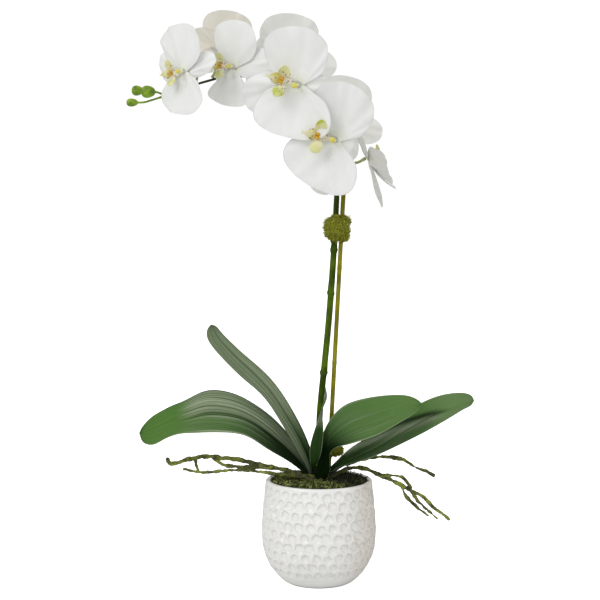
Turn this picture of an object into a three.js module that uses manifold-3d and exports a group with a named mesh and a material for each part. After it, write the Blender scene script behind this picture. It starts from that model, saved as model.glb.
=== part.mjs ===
// Potted moth orchid: a dimpled white pot, one arching flower spike tied to a stake with moss,
// eight white flowers, three buds, five leaves and the air roots that reach over the rim.
// Millimetres. The origin is the middle of the pot's underside, +Z is up, and the front faces -Y.
// "Left" and "right" in the names are as seen from the front, so +X is right.

import * as THREE from 'three';
import { mergeVertices } from 'three/addons/utils/BufferGeometryUtils.js';
import Module from 'manifold-3d';

const manifold = await Module();
manifold.setup();

// Driving dimensions
const GAP = 0.3;                    // clearance kept between neighbouring pieces
const POT_HEIGHT = 104;
const RIM_RADIUS = 53.4;
const BELLY_RADIUS = 57.7;
const BELLY_HEIGHT = 50;
const FOOT_RADIUS = 32;
const POT_WALL = 5;
const POT_FLOOR = 7;
const MEDIUM_TOP = 92;
const MOSS_TOP = 100;
const CROWN_RADIUS = 7;
const CROWN_TOP = 118;
const CROWN_FOOT = 84;
const SPIKE_RADIUS = 3.2;           // at the foot of the spike
const SPIKE_TIP_RADIUS = 1.4;
const STAKE_RADIUS = 2.2;
const STAKE_FOOT = [6, 12, 30];
const STAKE_HEAD = [24.6, -3, 402];
const STALK_RADIUS = 1.7;
const LEAF_THICKNESS = 1.8;
const ROOT_RADIUS = 2.7;
const TIE_HEIGHT = 356.5;           // where the moss tie holds spike and stake together
const TIE_RADIUS = 14.8;

// Flower proportions, for a flower 112 mm across
const PETAL_LENGTH = 56;
const PETAL_WIDTH = 72;
const SEPAL_LENGTH = 50;
const SEPAL_WIDTH = 36;
const PETAL_THICKNESS = 1.2;
const LOBE_START = 3;               // every lobe begins this far past the middle
const SEPAL_DROP = 1.9;             // how far the sepals sit behind the petals
const LIP_LENGTH = 25;
const COLUMN_LENGTH = 9.5;

function finish(color, roughness) {
  return new THREE.MeshStandardMaterial({ color, roughness, metalness: 0, side: THREE.DoubleSide });
}

const FINISHES = {
  glaze: finish(0xe6e6e1, 0.45),
  bark: finish(0x4a3a28, 0.95),
  moss: finish(0x3f4727, 0.98),
  lime_moss: finish(0x7d8a24, 0.98),
  leaf: finish(0x61774f, 0.45),
  stem: finish(0x516419, 0.5),
  root: finish(0x6b6f4e, 0.8),
  stake: finish(0x8f8d3e, 0.55),
  tie: finish(0x6d5a3a, 0.8),
  bud: finish(0x6d8317, 0.5),
  petal: finish(0xe9eae6, 0.55),
  column: finish(0xe8dc7a, 0.5),
  lip: finish(0xe3c64a, 0.5),
};

// Shape helpers

function vector([x, y, z]) {
  return new THREE.Vector3(x, y, z);
}

function route(...points) {
  return new THREE.CatmullRomCurve3(points.map(vector), false, 'centripetal');
}

function merged(geometry) {
  const bare = geometry.clone();
  bare.deleteAttribute('normal');
  bare.deleteAttribute('uv');
  return mergeVertices(bare, 1e-3);
}

function enclosedVolume(geometry) {
  const skin = geometry.attributes.position;
  const order = geometry.index.array;
  const [a, b, c] = [new THREE.Vector3(), new THREE.Vector3(), new THREE.Vector3()];
  let volume = 0;
  for (let i = 0; i < order.length; i += 3) {
    a.fromBufferAttribute(skin, order[i]);
    b.fromBufferAttribute(skin, order[i + 1]);
    c.fromBufferAttribute(skin, order[i + 2]);
    volume += a.dot(b.cross(c)) / 6;
  }
  return volume;
}

// A skin that came out inside out has the corners of each triangle swapped.
function facingOut(geometry) {
  const bare = merged(geometry);
  if (enclosedVolume(bare) < 0) {
    const order = bare.index.array;
    for (let i = 0; i < order.length; i += 3) {
      [order[i], order[i + 1]] = [order[i + 1], order[i]];
    }
  }
  bare.computeVertexNormals();
  return bare;
}

function toSolid(geometry) {
  const bare = facingOut(geometry);
  const mesh = new manifold.Mesh({
    numProp: 3,
    vertProperties: new Float32Array(bare.attributes.position.array),
    triVerts: new Uint32Array(bare.index.array),
  });
  mesh.merge();
  return new manifold.Manifold(mesh);
}

function toGeometry(solid) {
  const mesh = solid.getMesh();
  const geometry = new THREE.BufferGeometry();
  geometry.setAttribute('position', new THREE.BufferAttribute(mesh.vertProperties, 3));
  geometry.setIndex(new THREE.BufferAttribute(mesh.triVerts, 1));
  geometry.computeVertexNormals();
  return geometry;
}

function joined(...geometries) {
  return toGeometry(manifold.Manifold.union(geometries.map(toSolid)));
}

// The body of a geometry that is left when the cutters are taken away. Crumbs are dropped.
function trimmed(geometry, ...cutters) {
  let solid = toSolid(geometry);
  for (const cutter of cutters) {
    solid = solid.subtract(toSolid(cutter));
  }
  const bodies = solid.decompose();
  bodies.sort((a, b) => b.volume() - a.volume());
  return toGeometry(bodies[0]);
}

// Every thin or round grown shape starts as a sphere whose poles are its two ends. The shape
// function is given the share of the length, the place across, the place through and the
// sphere's own ring radius (0 at the ends), and returns where that point of the skin goes.
function grown(shape, around, along) {
  const geometry = merged(new THREE.SphereGeometry(1, around, along));
  const skin = geometry.attributes.position;
  for (let i = 0; i < skin.count; i += 1) {
    const ring = Math.hypot(skin.getX(i), skin.getZ(i));
    const across = ring > 1e-6 ? skin.getX(i) / ring : 0;
    const through = ring > 1e-6 ? skin.getZ(i) / ring : 0;
    const point = shape((1 - skin.getY(i)) / 2, across, through, ring > 1e-6 ? ring : 0);
    skin.setXYZ(i, point.x, point.y, point.z);
  }
  return facingOut(geometry);
}

// A round stem or root along a curve. radiusAt gives the radius from the share of the length.
function strand(curve, radiusAt, along, around = 8) {
  const frames = curve.computeFrenetFrames(along, false);
  return grown((share, across, through, ring) => {
    const step = Math.round(Math.acos(1 - 2 * share) / Math.PI * along);
    const radius = ring > 0 ? radiusAt(step / along) : 0;
    return curve.getPointAt(step / along)
      .addScaledVector(frames.normals[step], across * radius)
      .addScaledVector(frames.binormals[step], through * radius);
  }, around, along);
}

// A leaf between its two edges, seen from its foot with the upper side up. The middle sinks
// below the edges by the channel's depth, and the section is a thin lens.
function leafBlade(rightEdge, leftEdge, channel) {
  return grown((share, across, through, ring) => {
    const right = rightEdge.getPointAt(share);
    const left = leftEdge.getPointAt(share);
    const width = new THREE.Vector3().subVectors(left, right);
    const forward = rightEdge.getTangentAt(share).add(leftEdge.getTangentAt(share));
    const up = new THREE.Vector3().crossVectors(forward, width).normalize();
    const lift = through * ring * LEAF_THICKNESS / 2 - channel * ring * (1 - across * across);
    return right.lerp(left, (across + 1) / 2).addScaledVector(up, lift);
  }, 10, 15);
}

// One petal or sepal in the flower's own frame: +X across, +Y to the upper sepal, +Z to the
// viewer. It leaves the middle at an angle, and all of them share one dished surface.
function lobe(angle, length, width, shoulder, bend, around, along) {
  const forward = new THREE.Vector2(Math.cos(angle), Math.sin(angle));
  const side = new THREE.Vector2(Math.sin(angle), -Math.cos(angle));
  return grown((share, across, through, ring) => {
    const reach = length * share - LOBE_START;
    const spread = across * ring * width / 2 * (1 - shoulder + 2 * shoulder * share);
    const x = forward.x * reach + side.x * spread;
    const y = forward.y * reach + side.y * spread;
    const dish = bend * (x * x + y * y) / (PETAL_LENGTH * PETAL_LENGTH);
    return new THREE.Vector3(x, y, dish - through * Math.sqrt(ring) * PETAL_THICKNESS / 2);
  }, around, along);
}

function hubDisc(radius) {
  return new THREE.SphereGeometry(1, 8, 4).scale(radius, radius, PETAL_THICKNESS / 2);
}

function sepalsShape({ bend, dorsal = 1 }) {
  const degrees = THREE.MathUtils.degToRad;
  const length = SEPAL_LENGTH + LOBE_START;
  return joined(
    hubDisc(4.5),
    lobe(degrees(90), length * dorsal, SEPAL_WIDTH, 0.12, bend, 6, 7),
    lobe(degrees(-57), length, SEPAL_WIDTH, 0.12, bend, 6, 7),
    lobe(degrees(-123), length, SEPAL_WIDTH, 0.12, bend, 6, 7),
  ).translate(0, 0, -SEPAL_DROP);
}

// Each of the two petals has its own rise towards the upper sepal, and its share of the full
// length and width.
function petalsShape({ bend, petals = [[3, 1, 1], [3, 1, 1]] }) {
  const [first, second] = petals.map(([rise, length, width], index) => {
    const slope = THREE.MathUtils.degToRad(rise);
    const angle = index === 0 ? slope : Math.PI - slope;
    return lobe(angle, PETAL_LENGTH * length + LOBE_START, PETAL_WIDTH * width, 0.22, bend, 8, 8);
  });
  return joined(hubDisc(4), first, second);
}

function columnShape() {
  const half = COLUMN_LENGTH / 2;
  return new THREE.SphereGeometry(1, 7, 5).scale(2.7, 2.9, half)
    .rotateX(THREE.MathUtils.degToRad(12))
    .translate(0, 0.6, half + PETAL_THICKNESS / 2 + 0.7);
}

// The lip hangs below the column: a spade-shaped middle lobe and two side lobes that curl up.
function lipShape() {
  const middle = grown((share, across, through, ring) => new THREE.Vector3(
    across * ring * 8 * (0.7 + 0.6 * share),
    -4.2 - LIP_LENGTH * share,
    4.2 + 8 * Math.sin(Math.PI * 0.75 * share) + through * ring * 0.8,
  ), 6, 5);
  const wing = (hand) => grown((share, across, through, ring) => new THREE.Vector3(
    hand * (1.2 + 11 * share) - across * ring * 1.5 * hand,
    -7 - 2 * share + across * ring * 5,
    5.2 + 9 * share + through * ring * 0.8,
  ), 6, 4);
  return joined(middle, wing(1), wing(-1));
}

// The part

const orchid = new THREE.Group();

function add(name, geometry, material, parent = orchid) {
  const mesh = new THREE.Mesh(geometry, material);
  mesh.name = name;
  parent.add(mesh);
  return mesh;
}

// Pot: one shell, round in plan, with a rounded foot and a thick rim.

function outerRadiusAt(height) {
  const below = (BELLY_HEIGHT - height) / BELLY_HEIGHT;
  if (below > 0) {
    return FOOT_RADIUS + (BELLY_RADIUS - FOOT_RADIUS) * (1 - below ** 2.2) ** 0.8;
  }
  const above = (height - BELLY_HEIGHT) / (POT_HEIGHT - BELLY_HEIGHT);
  return BELLY_RADIUS - (BELLY_RADIUS - RIM_RADIUS) * above ** 1.6;
}

function innerRadiusAt(height) {
  return outerRadiusAt(Math.max(height, POT_FLOOR + 6)) - POT_WALL;
}

function potShape() {
  const outside = [0, 2, 6, 12, 20, 32, 50, 72, POT_HEIGHT - 1.5];
  const inside = [POT_HEIGHT - 1.5, 72, 50, 32, 20, POT_FLOOR];
  const profile = [
    new THREE.Vector2(0, 0),
    ...outside.map((height) => new THREE.Vector2(outerRadiusAt(height), height)),
    new THREE.Vector2(RIM_RADIUS - 1.5, POT_HEIGHT),
    new THREE.Vector2(RIM_RADIUS - POT_WALL + 1.5, POT_HEIGHT),
    ...inside.map((height) => new THREE.Vector2(innerRadiusAt(height), height)),
    new THREE.Vector2(0, POT_FLOOR),
  ];
  return uprightLathe(profile, 28);
}

// LatheGeometry turns about Y, so the result is stood up along Z.
function uprightLathe(profile, segments) {
  return facingOut(new THREE.LatheGeometry(profile, segments).rotateX(Math.PI / 2));
}

// Stake, and the oversize copies that cut its clearances

const stakeLine = new THREE.LineCurve3(vector(STAKE_FOOT), vector(STAKE_HEAD));

function stakeShape(extra) {
  const length = stakeLine.getLength();
  const turn = new THREE.Quaternion().setFromUnitVectors(
    new THREE.Vector3(0, 1, 0),
    stakeLine.getTangent(0),
  );
  const middle = stakeLine.getPoint(0.5);
  return new THREE.CylinderGeometry(STAKE_RADIUS + extra, STAKE_RADIUS + extra, length + 2 * extra, 10)
    .applyQuaternion(turn)
    .translate(middle.x, middle.y, middle.z);
}

// Crown: the short woody stem that leaves, roots and spike all grow from

function crownShape(extra) {
  const half = (CROWN_TOP - CROWN_FOOT) / 2 + extra;
  return new THREE.CapsuleGeometry(
    CROWN_RADIUS + extra, 2 * (half - CROWN_RADIUS - extra), 4, 12,
  ).rotateX(Math.PI / 2).translate(-1, 0, CROWN_FOOT + half - extra);
}

// Growing medium and the moss over it

function mediumShape() {
  const heights = [POT_FLOOR + GAP, 20, 32, 50, 72, MEDIUM_TOP];
  const profile = [
    new THREE.Vector2(0, POT_FLOOR + GAP),
    ...heights.map((height) => new THREE.Vector2(innerRadiusAt(height) - GAP - 0.8, height)),
    new THREE.Vector2(0, MEDIUM_TOP),
  ];
  return trimmed(uprightLathe(profile, 20), crownShape(GAP), stakeShape(GAP));
}

function mossBedShape() {
  const edge = innerRadiusAt(MOSS_TOP) - GAP - 0.4;
  const profile = [
    new THREE.Vector2(0, MEDIUM_TOP + GAP),
    new THREE.Vector2(edge, MEDIUM_TOP + GAP),
    new THREE.Vector2(edge, MOSS_TOP - 2),
    new THREE.Vector2(edge - 4, MOSS_TOP),
    new THREE.Vector2(26, MOSS_TOP + 1),
    new THREE.Vector2(0, MOSS_TOP + 2),
  ];
  return trimmed(uprightLathe(profile, 20), crownShape(GAP), stakeShape(GAP));
}

// Leaves: right and left edges as seen from the leaf's foot

const LEAVES = [
  {
    name: 'leaf_upright_left',
    channel: 5,
    right: [[-4, 1, 115], [-8, 6, 134], [-21, 13, 162], [-48, 18, 202], [-80, 16, 233],
      [-99, 12, 250], [-108, 4, 259]],
    left: [[-4, 1, 115], [-19, -6, 129], [-31, -9, 151], [-55, -12, 189], [-79, -12, 211],
      [-107, -8, 240], [-111, -3, 251], [-108, 4, 259]],
  },
  {
    name: 'leaf_drooping_left',
    channel: 4,
    right: [[-4, 0, 108], [-14, 6, 126], [-27, 10, 145], [-44, 10, 164], [-62, 8, 178],
      [-86, 4, 191], [-112, -2, 195], [-137, -8, 184], [-164, -18, 172], [-177, -36, 158]],
    left: [[-4, 0, 108], [-19, -10, 115], [-31, -20, 126], [-50, -28, 139], [-73, -36, 155],
      [-102, -42, 159], [-144, -48, 156], [-163, -48, 147], [-174, -44, 152], [-177, -36, 158]],
  },
  {
    name: 'leaf_small_centre',
    channel: 2,
    right: [[-3, -5, 112], [-6, -16, 125], [-8, -17, 140], [-3, -15, 161], [1, -11, 173],
      [5, -9, 186], [6, -8, 201]],
    left: [[-3, -5, 112], [1, -17, 130], [4, -18, 150], [4, -15, 164], [3, -11, 174],
      [8, -9, 188], [6, -8, 201]],
  },
  {
    name: 'leaf_front_right',
    channel: 3,
    right: [[2, -4, 114], [3, -14, 134], [11, -22, 140], [26, -34, 145], [41, -40, 150],
      [56, -43, 156], [86, -40, 172], [96, -34, 178], [102, -26, 184]],
    left: [[2, -4, 114], [4, -9, 145], [7, -9, 157], [14, -8, 169], [26, -8, 180], [42, -8, 186],
      [72, -10, 191], [88, -14, 191], [97, -20, 188], [102, -26, 184]],
  },
  {
    name: 'leaf_long_right',
    channel: 6,
    right: [[2, 0, 108], [10, -10, 116], [21, -17, 121], [36, -23, 125], [66, -28, 137],
      [96, -28, 152], [127, -24, 169], [143, -18, 178], [154, -8, 185]],
    left: [[2, 0, 108], [16, 6, 122], [32, 14, 133], [57, 21, 147], [83, 24, 165],
      [106, 23, 179], [120, 20, 185], [134, 15, 188], [148, 5, 190], [154, -8, 185]],
  },
];

function addLeaves() {
  for (const { name, right, left, channel } of LEAVES) {
    const blade = leafBlade(route(...right), route(...left), channel);
    add(name, trimmed(blade, crownShape(GAP)), FINISHES.leaf);
  }
}

// Air roots: every strand tapers to its tip, and strands of one bundle have grown together.

const ROOTS = {
  roots_left: [
    [[-3, -3, 106], [-14, -8, 109], [-41, -12, 117], [-70, -15, 124], [-97, -18, 129],
      [-115, -20, 131], [-130, -21, 128], [-142, -22, 123], [-150, -22, 130]],
    [[-3, -4, 104.5], [-19, -11, 108], [-36, -14, 111], [-55, -17, 114], [-74, -21, 117],
      [-97, -25, 117], [-114, -28, 116], [-134, -30, 120]],
    [[-55, -15, 120], [-72, -17, 120], [-94, -20, 121], [-103, -20, 123], [-107, -19, 128]],
    [[-122, -21, 129], [-121, -25, 122], [-119, -28, 117]],
    [[-14, -9, 108], [-9, -17, 107], [1, -25, 105.5], [10, -31, 104.8]],
  ],
  roots_right: [
    [[-1, -2, 105], [10, -3, 106], [21, -1, 111], [32, 1, 115], [44, -2, 115.5], [59, -6, 110],
      [74, -9, 104], [91, -11, 95], [103, -12, 89], [114, -13, 78], [125, -14, 70], [130, -14, 66]],
    [[60, -6, 108], [75, -8, 108.5], [84, -9, 107], [91, -11, 97]],
    [[83, -10, 98], [86, -12, 91], [97, -14, 80], [110, -16, 70]],
    [[97, -12, 91], [98, -12, 84], [109, -13, 73], [119, -14, 67]],
  ],
  root_back_right: [
    [[-1, 3, 108], [3, 14, 108], [14, 17, 112], [32, 16, 118], [58, 13, 124], [84, 11, 122], [98, 10, 114],
      [107, 9, 111], [117, 8, 106]],
  ],
};

function rootRadiusAt(share) {
  return ROOT_RADIUS * (1 - 0.6 * share);
}

function addRoots() {
  for (const [name, strands] of Object.entries(ROOTS)) {
    const bundle = strands.map((points, index) => {
      const fromShare = index === 0 ? 0 : 0.3;
      const radiusAt = (share) => rootRadiusAt(THREE.MathUtils.lerp(fromShare, 1, share));
      return strand(route(...points), radiusAt, Math.round(points.length * 1.6), 6);
    });
    add(name, trimmed(joined(...bundle), crownShape(GAP)), FINISHES.root);
  }
}

// Flower spike: upright to the tie, then arching over to the buds

const spikeRoute = route(
  [-1, 1, 112], [-1.5, 2, 125], [0, 2, 143], [1, 2, 172], [5, 2, 214], [9, 2, 255], [12.5, 2, 300],
  [15.2, 2, 343], [17.7, 3, 393], [19, 5, 429], [12, 7, 459], [-11, 8, 487], [-48, 9, 502],
  [-86, 9, 507], [-114, 8, 501], [-135, 6, 494], [-155, 1, 486.5],
);
const SPIKE_STEPS = 38;

function spikeRadiusAt(share) {
  return THREE.MathUtils.lerp(SPIKE_RADIUS, SPIKE_TIP_RADIUS, THREE.MathUtils.smoothstep(share, 0.3, 1));
}

function spikeShape(extra) {
  return strand(spikeRoute, (share) => spikeRadiusAt(share) + extra, SPIKE_STEPS, 7);
}

// Flowers. turn is to the viewer's left of straight ahead, nod is upward, and roll is the way
// of the upper sepal, anticlockwise from the viewer's right. foot is where the stalk leaves, as
// a share of the spike's length.

const FLOWERS = [
  {
    hub: [-131, -34, 509], turn: 50, nod: 0, roll: 8, size: 0.8, bend: -3, foot: 0.935,
    petals: [[-10, 0.9, 1], [4, 1, 1]],
  },
  { hub: [-98, 36, 533], turn: 168, nod: 14, roll: 176, size: 0.72, bend: -3, foot: 0.905 },
  {
    hub: [-84, -20, 514.5], turn: 38, nod: 0, roll: -5, size: 0.78, bend: -3, foot: 0.87,
    petals: [[-6, 0.92, 1], [4, 1.05, 1]],
  },
  {
    hub: [-21, -65, 495], turn: 20, nod: -9, roll: -7, size: 1, bend: -4, foot: 0.75,
    petals: [[-13, 0.98, 1.12], [-6, 1, 0.87]], dorsal: 0.62,
  },
  {
    hub: [-35, 40, 522], turn: 155, nod: 10, roll: 184, size: 0.9, bend: -3, foot: 0.79,
    dorsal: 1.15,
  },
  {
    hub: [14, -59.5, 443.5], turn: 15, nod: -4, roll: -28, size: 1.03, bend: -5, foot: 0.62,
    petals: [[-4, 0.98, 1], [-5, 1, 0.76]], dorsal: 0.62,
  },
  {
    hub: [49, 8, 427], turn: -98, nod: 25, roll: -95, size: 0.76, bend: 8, foot: 0.585,
    dorsal: 1.25,
  },
  { hub: [20, 56, 462], turn: 172, nod: 6, roll: 203, size: 0.86, bend: -3, foot: 0.66 },
];

// The flower's frame: +Z to its viewer, +Y to its upper sepal
function flowerFrame({ hub, turn, nod, roll, size }) {
  const degrees = THREE.MathUtils.degToRad;
  const frame = new THREE.Group();
  const facing = new THREE.Vector3(
    -Math.sin(degrees(turn)) * Math.cos(degrees(nod)),
    -Math.cos(degrees(turn)) * Math.cos(degrees(nod)),
    Math.sin(degrees(nod)),
  );
  const level = new THREE.Vector3(0, 0, 1).cross(facing).normalize();
  const upright = new THREE.Vector3().crossVectors(facing, level);
  const upper = level.multiplyScalar(Math.cos(degrees(roll)))
    .addScaledVector(upright, Math.sin(degrees(roll)));
  const across = new THREE.Vector3().crossVectors(upper, facing);
  frame.quaternion.setFromRotationMatrix(new THREE.Matrix4().makeBasis(across, upper, facing));
  frame.position.copy(vector(hub));
  frame.scale.setScalar(size);
  return { frame, facing };
}

function stalkShape({ hub, size, foot }, facing) {
  const behind = (SEPAL_DROP + PETAL_THICKNESS / 2 + GAP + 0.1) * size;
  const back = vector(hub).addScaledVector(facing, -behind);
  const lean = back.clone().addScaledVector(facing, -14 * size);
  const curve = new THREE.CatmullRomCurve3([spikeRoute.getPointAt(foot), lean, back], false, 'centripetal');
  return trimmed(strand(curve, () => STALK_RADIUS, 7, 6), spikeShape(GAP));
}

function addFlowers() {
  FLOWERS.forEach((flower, index) => {
    const name = `flower_${index + 1}`;
    const { frame, facing } = flowerFrame(flower);
    add(`${name}_petals`, petalsShape(flower), FINISHES.petal, frame);
    add(`${name}_sepals`, sepalsShape(flower), FINISHES.petal, frame);
    add(`${name}_column`, columnShape(), FINISHES.column, frame);
    add(`${name}_lip`, lipShape(), FINISHES.lip, frame);
    orchid.add(frame);
    add(`${name}_stalk`, stalkShape(flower, facing), FINISHES.stem);
  });
}

// Buds: an egg on its own short stalk, grown as one piece

const BUDS = [
  {
    middle: [-184.5, -4, 480.4],
    reach: [6.6, 4, 4],
    path: [[-154, 1, 486.5], [-166, -1, 482.6], [-173, -3, 480.6], [-181, -4, 480.4]],
  },
  {
    middle: [-180, 7, 492.5],
    reach: [5.8, 5, 5],
    path: [[-152, 2, 487.5], [-161, 5, 491], [-169, 7, 493], [-177, 7, 493]],
  },
  {
    middle: [-168, -7, 490.8],
    reach: [7, 5.4, 6],
    path: [[-153, 0, 487.5], [-158, -4, 490], [-164, -6, 490.6]],
  },
];

function addBuds() {
  BUDS.forEach(({ middle, reach, path }, index) => {
    const egg = new THREE.SphereGeometry(1, 9, 6).scale(...reach).translate(...middle);
    const stalk = strand(route(...path), () => 1.1, 6, 6);
    add(`bud_${index + 1}`, trimmed(joined(egg, stalk), spikeShape(GAP)), FINISHES.bud);
  });
}

// The tie that holds spike and stake together, and the moss wrapped round it

function tieBand(outer, height) {
  const at = stakeLine.getPoint((TIE_HEIGHT - STAKE_FOOT[2]) / (STAKE_HEAD[2] - STAKE_FOOT[2]));
  const spikeX = 16.2;
  const half = (at.x - spikeX) / 2;
  const outline = new THREE.Shape();
  outline.absarc(half, 0, outer, -Math.PI / 2, Math.PI / 2, false);
  outline.absarc(-half, 0, outer, Math.PI / 2, 3 * Math.PI / 2, false);
  outline.closePath();
  return new THREE.ExtrudeGeometry(outline, { depth: height, bevelEnabled: false, curveSegments: 5 })
    .rotateZ(Math.atan2(at.y - 2, at.x - spikeX))
    .translate((at.x + spikeX) / 2, (at.y + 2) / 2, TIE_HEIGHT - height / 2);
}

function tieShape() {
  const inside = tieBand(SPIKE_RADIUS + 0.5, 8);
  return trimmed(tieBand(SPIKE_RADIUS + 1.6, 3), inside);
}

function mossTieShape() {
  const tuft = (x, y, z, radius, detail) => (
    new THREE.IcosahedronGeometry(radius, detail).translate(x, y, z)
  );
  const ball = joined(
    tuft(17.3, -1, TIE_HEIGHT, TIE_RADIUS, 2),
    tuft(26, 1, TIE_HEIGHT + 7, 5.5, 0),
    tuft(25, -2, TIE_HEIGHT - 8, 5.5, 0),
  );
  return trimmed(ball, tieBand(SPIKE_RADIUS + 1.6 + GAP, 3 + 2 * GAP), spikeShape(GAP), stakeShape(GAP));
}

function stakeMossShape() {
  const clump = new THREE.SphereGeometry(1, 10, 6).scale(7, 6, 5).translate(15, 7, 131.5);
  return trimmed(clump, stakeShape(GAP));
}

add('pot', potShape(), FINISHES.glaze);
add('growing_medium', mediumShape(), FINISHES.bark);
add('moss_bed', mossBedShape(), FINISHES.moss);
add('crown', crownShape(0), FINISHES.stem);
addLeaves();
addRoots();
add('flower_spike', trimmed(spikeShape(0), crownShape(GAP)), FINISHES.stem);
add('stake', stakeShape(0), FINISHES.stake);
add('stem_tie', tieShape(), FINISHES.tie);
add('moss_tie', mossTieShape(), FINISHES.lime_moss);
add('stake_moss', stakeMossShape(), FINISHES.lime_moss);
addBuds();
addFlowers();

export default orchid;
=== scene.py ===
# %% [markdown]
# # A potted moth orchid
#
# This lesson dresses a plain CAD model of a moth orchid. The plant has one arching flower spike
# with eight white flowers and three buds, five leaves and some air roots, and it stands in a
# dimpled white pot. The CAD model is a fixed frame: it says where everything is and how big it
# is. We load it first, measure its nodes, and build each detailed piece in the place that its
# node holds.

# %% Load the frame
import math
import random

import bmesh
import bpy
from mathutils import Matrix, Vector, noise
from mathutils.geometry import interpolate_bezier


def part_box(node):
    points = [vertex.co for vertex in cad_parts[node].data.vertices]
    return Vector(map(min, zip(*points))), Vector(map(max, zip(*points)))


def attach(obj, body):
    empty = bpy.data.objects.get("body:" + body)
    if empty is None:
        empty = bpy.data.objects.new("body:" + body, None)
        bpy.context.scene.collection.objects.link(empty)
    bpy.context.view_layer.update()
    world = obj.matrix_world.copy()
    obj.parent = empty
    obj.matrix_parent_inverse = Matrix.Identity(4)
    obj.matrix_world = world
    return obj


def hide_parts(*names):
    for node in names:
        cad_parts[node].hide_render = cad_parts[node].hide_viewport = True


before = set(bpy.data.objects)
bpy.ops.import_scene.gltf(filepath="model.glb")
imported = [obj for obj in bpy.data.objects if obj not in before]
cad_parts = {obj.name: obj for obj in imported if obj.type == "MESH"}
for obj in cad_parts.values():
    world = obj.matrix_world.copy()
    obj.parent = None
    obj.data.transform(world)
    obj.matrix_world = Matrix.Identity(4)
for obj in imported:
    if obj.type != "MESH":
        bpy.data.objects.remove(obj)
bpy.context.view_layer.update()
MM = 0.001

# %% [markdown]
# ## A smooth line through a few points
#
# Stems, roots and the edges of leaves all follow curves that we can describe with a handful of
# points. A Catmull-Rom curve passes through every one of them. Spacing its knots by the square
# root of the distance, which is called centripetal, keeps it from making loops between points
# that are close together. Each stretch is handed to Blender's own Bezier function.

# %% Routes
class Route:
    """A smooth line through points. They're in millimetres unless another unit is given."""

    def __init__(self, *points, unit=MM):
        knots = [Vector(point) * unit for point in points]
        knots = [2 * knots[0] - knots[1], *knots, 2 * knots[-1] - knots[-2]]
        self.points = [knots[1]]
        for before, start, end, after in zip(knots, knots[1:], knots[2:], knots[3:]):
            near, span, far = (
                math.sqrt((b - a).length) for a, b in ((before, start), (start, end), (end, after))
            )
            leave = (start - before) / near - (end - before) / (near + span) + (end - start) / span
            arrive = (end - start) / span - (after - start) / (span + far) + (after - end) / far
            self.points += interpolate_bezier(
                start, start + leave * span / 3, end - arrive * span / 3, end, 17
            )[1:]
        self.reach = [0.0]
        for a, b in zip(self.points, self.points[1:]):
            self.reach.append(self.reach[-1] + (b - a).length)

    def at(self, share):
        """The point at a share of the whole length."""
        goal = min(max(share, 0.0), 1.0) * self.reach[-1]
        low, high = 0, len(self.reach) - 1
        while high - low > 1:
            middle = (low + high) // 2
            if self.reach[middle] <= goal:
                low = middle
            else:
                high = middle
        part = (goal - self.reach[low]) / (self.reach[high] - self.reach[low])
        return self.points[low].lerp(self.points[high], part)

    def along(self, share):
        """The direction of travel at a share of the length."""
        return (self.at(share + 0.004) - self.at(share - 0.004)).normalized()


spike_line = Route(
    (-1, 1, 112), (-1.5, 2, 125), (0, 2, 143), (1, 2, 172), (5, 2, 214), (9, 2, 255),
    (12.5, 2, 300), (15.2, 2, 343), (17.7, 3, 393), (19, 5, 429), (12, 7, 459), (-11, 8, 487),
    (-48, 9, 502), (-86, 9, 507), (-114, 8, 501), (-135, 6, 494), (-155, 1, 486.5),
)
print("flower spike:", round(spike_line.reach[-1], 3), "m long")

# %% [markdown]
# ## Growing a shape from a sphere
#
# A petal, a leaf, a bud and a length of stem have one thing in common: a closed skin with two
# ends. A sphere is the simplest closed skin with two ends, so every one of them starts as
# `create_uvsphere`, and a small function says where each point of the sphere goes. It is told
# the share of the length, the place across and the place through the thickness. Nothing needs
# to be stitched, and both ends are closed.
#
# The same numbers are kept in an attribute called *place*, so that a material can draw a vein
# along a leaf or tint the back of a petal.

# %% The growing helper
def new_bmesh():
    """An empty bmesh with the attributes that the materials read."""
    bm = bmesh.new()
    bm.verts.layers.float_vector.new("place")
    bm.verts.layers.float_vector.new("fan")
    return bm


def grow(bm, shape, around, steps):
    """Adds a sphere whose points are moved by shape(across, share, through, ring)."""
    made = bmesh.ops.create_uvsphere(bm, u_segments=around, v_segments=steps, radius=1)["verts"]
    place = bm.verts.layers.float_vector["place"]
    for vert in made:
        x, y, z = vert.co
        ring = math.hypot(x, y)
        across, through = (x / ring, y / ring) if ring > 1e-5 else (0.0, 0.0)
        share = math.acos(max(-1.0, min(1.0, -z))) / math.pi
        vert[place] = Vector((across, (1 - math.cos(share * math.pi)) / 2, through))
        vert.co = shape(across, share, through, ring if ring > 1e-5 else 0.0)
    return made


def eased(share):
    """The share of the length that goes with a step: ends are sampled closely, the middle less."""
    return (1 - math.cos(share * math.pi)) / 2


def smooth(low, high, value):
    """0 below low, 1 above high, and an S-shaped rise between them."""
    part = min(max((value - low) / (high - low), 0.0), 1.0)
    return part * part * (3 - 2 * part)


def blend(a, b, share):
    return a + (b - a) * share


# %% [markdown]
# ## Tubes
#
# A stem is the same sphere drawn out along a route. Each ring needs its own pair of axes that
# turn as little as possible from one ring to the next, or the tube twists. We carry one axis
# along the line and press it flat against the new direction at every step.

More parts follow.
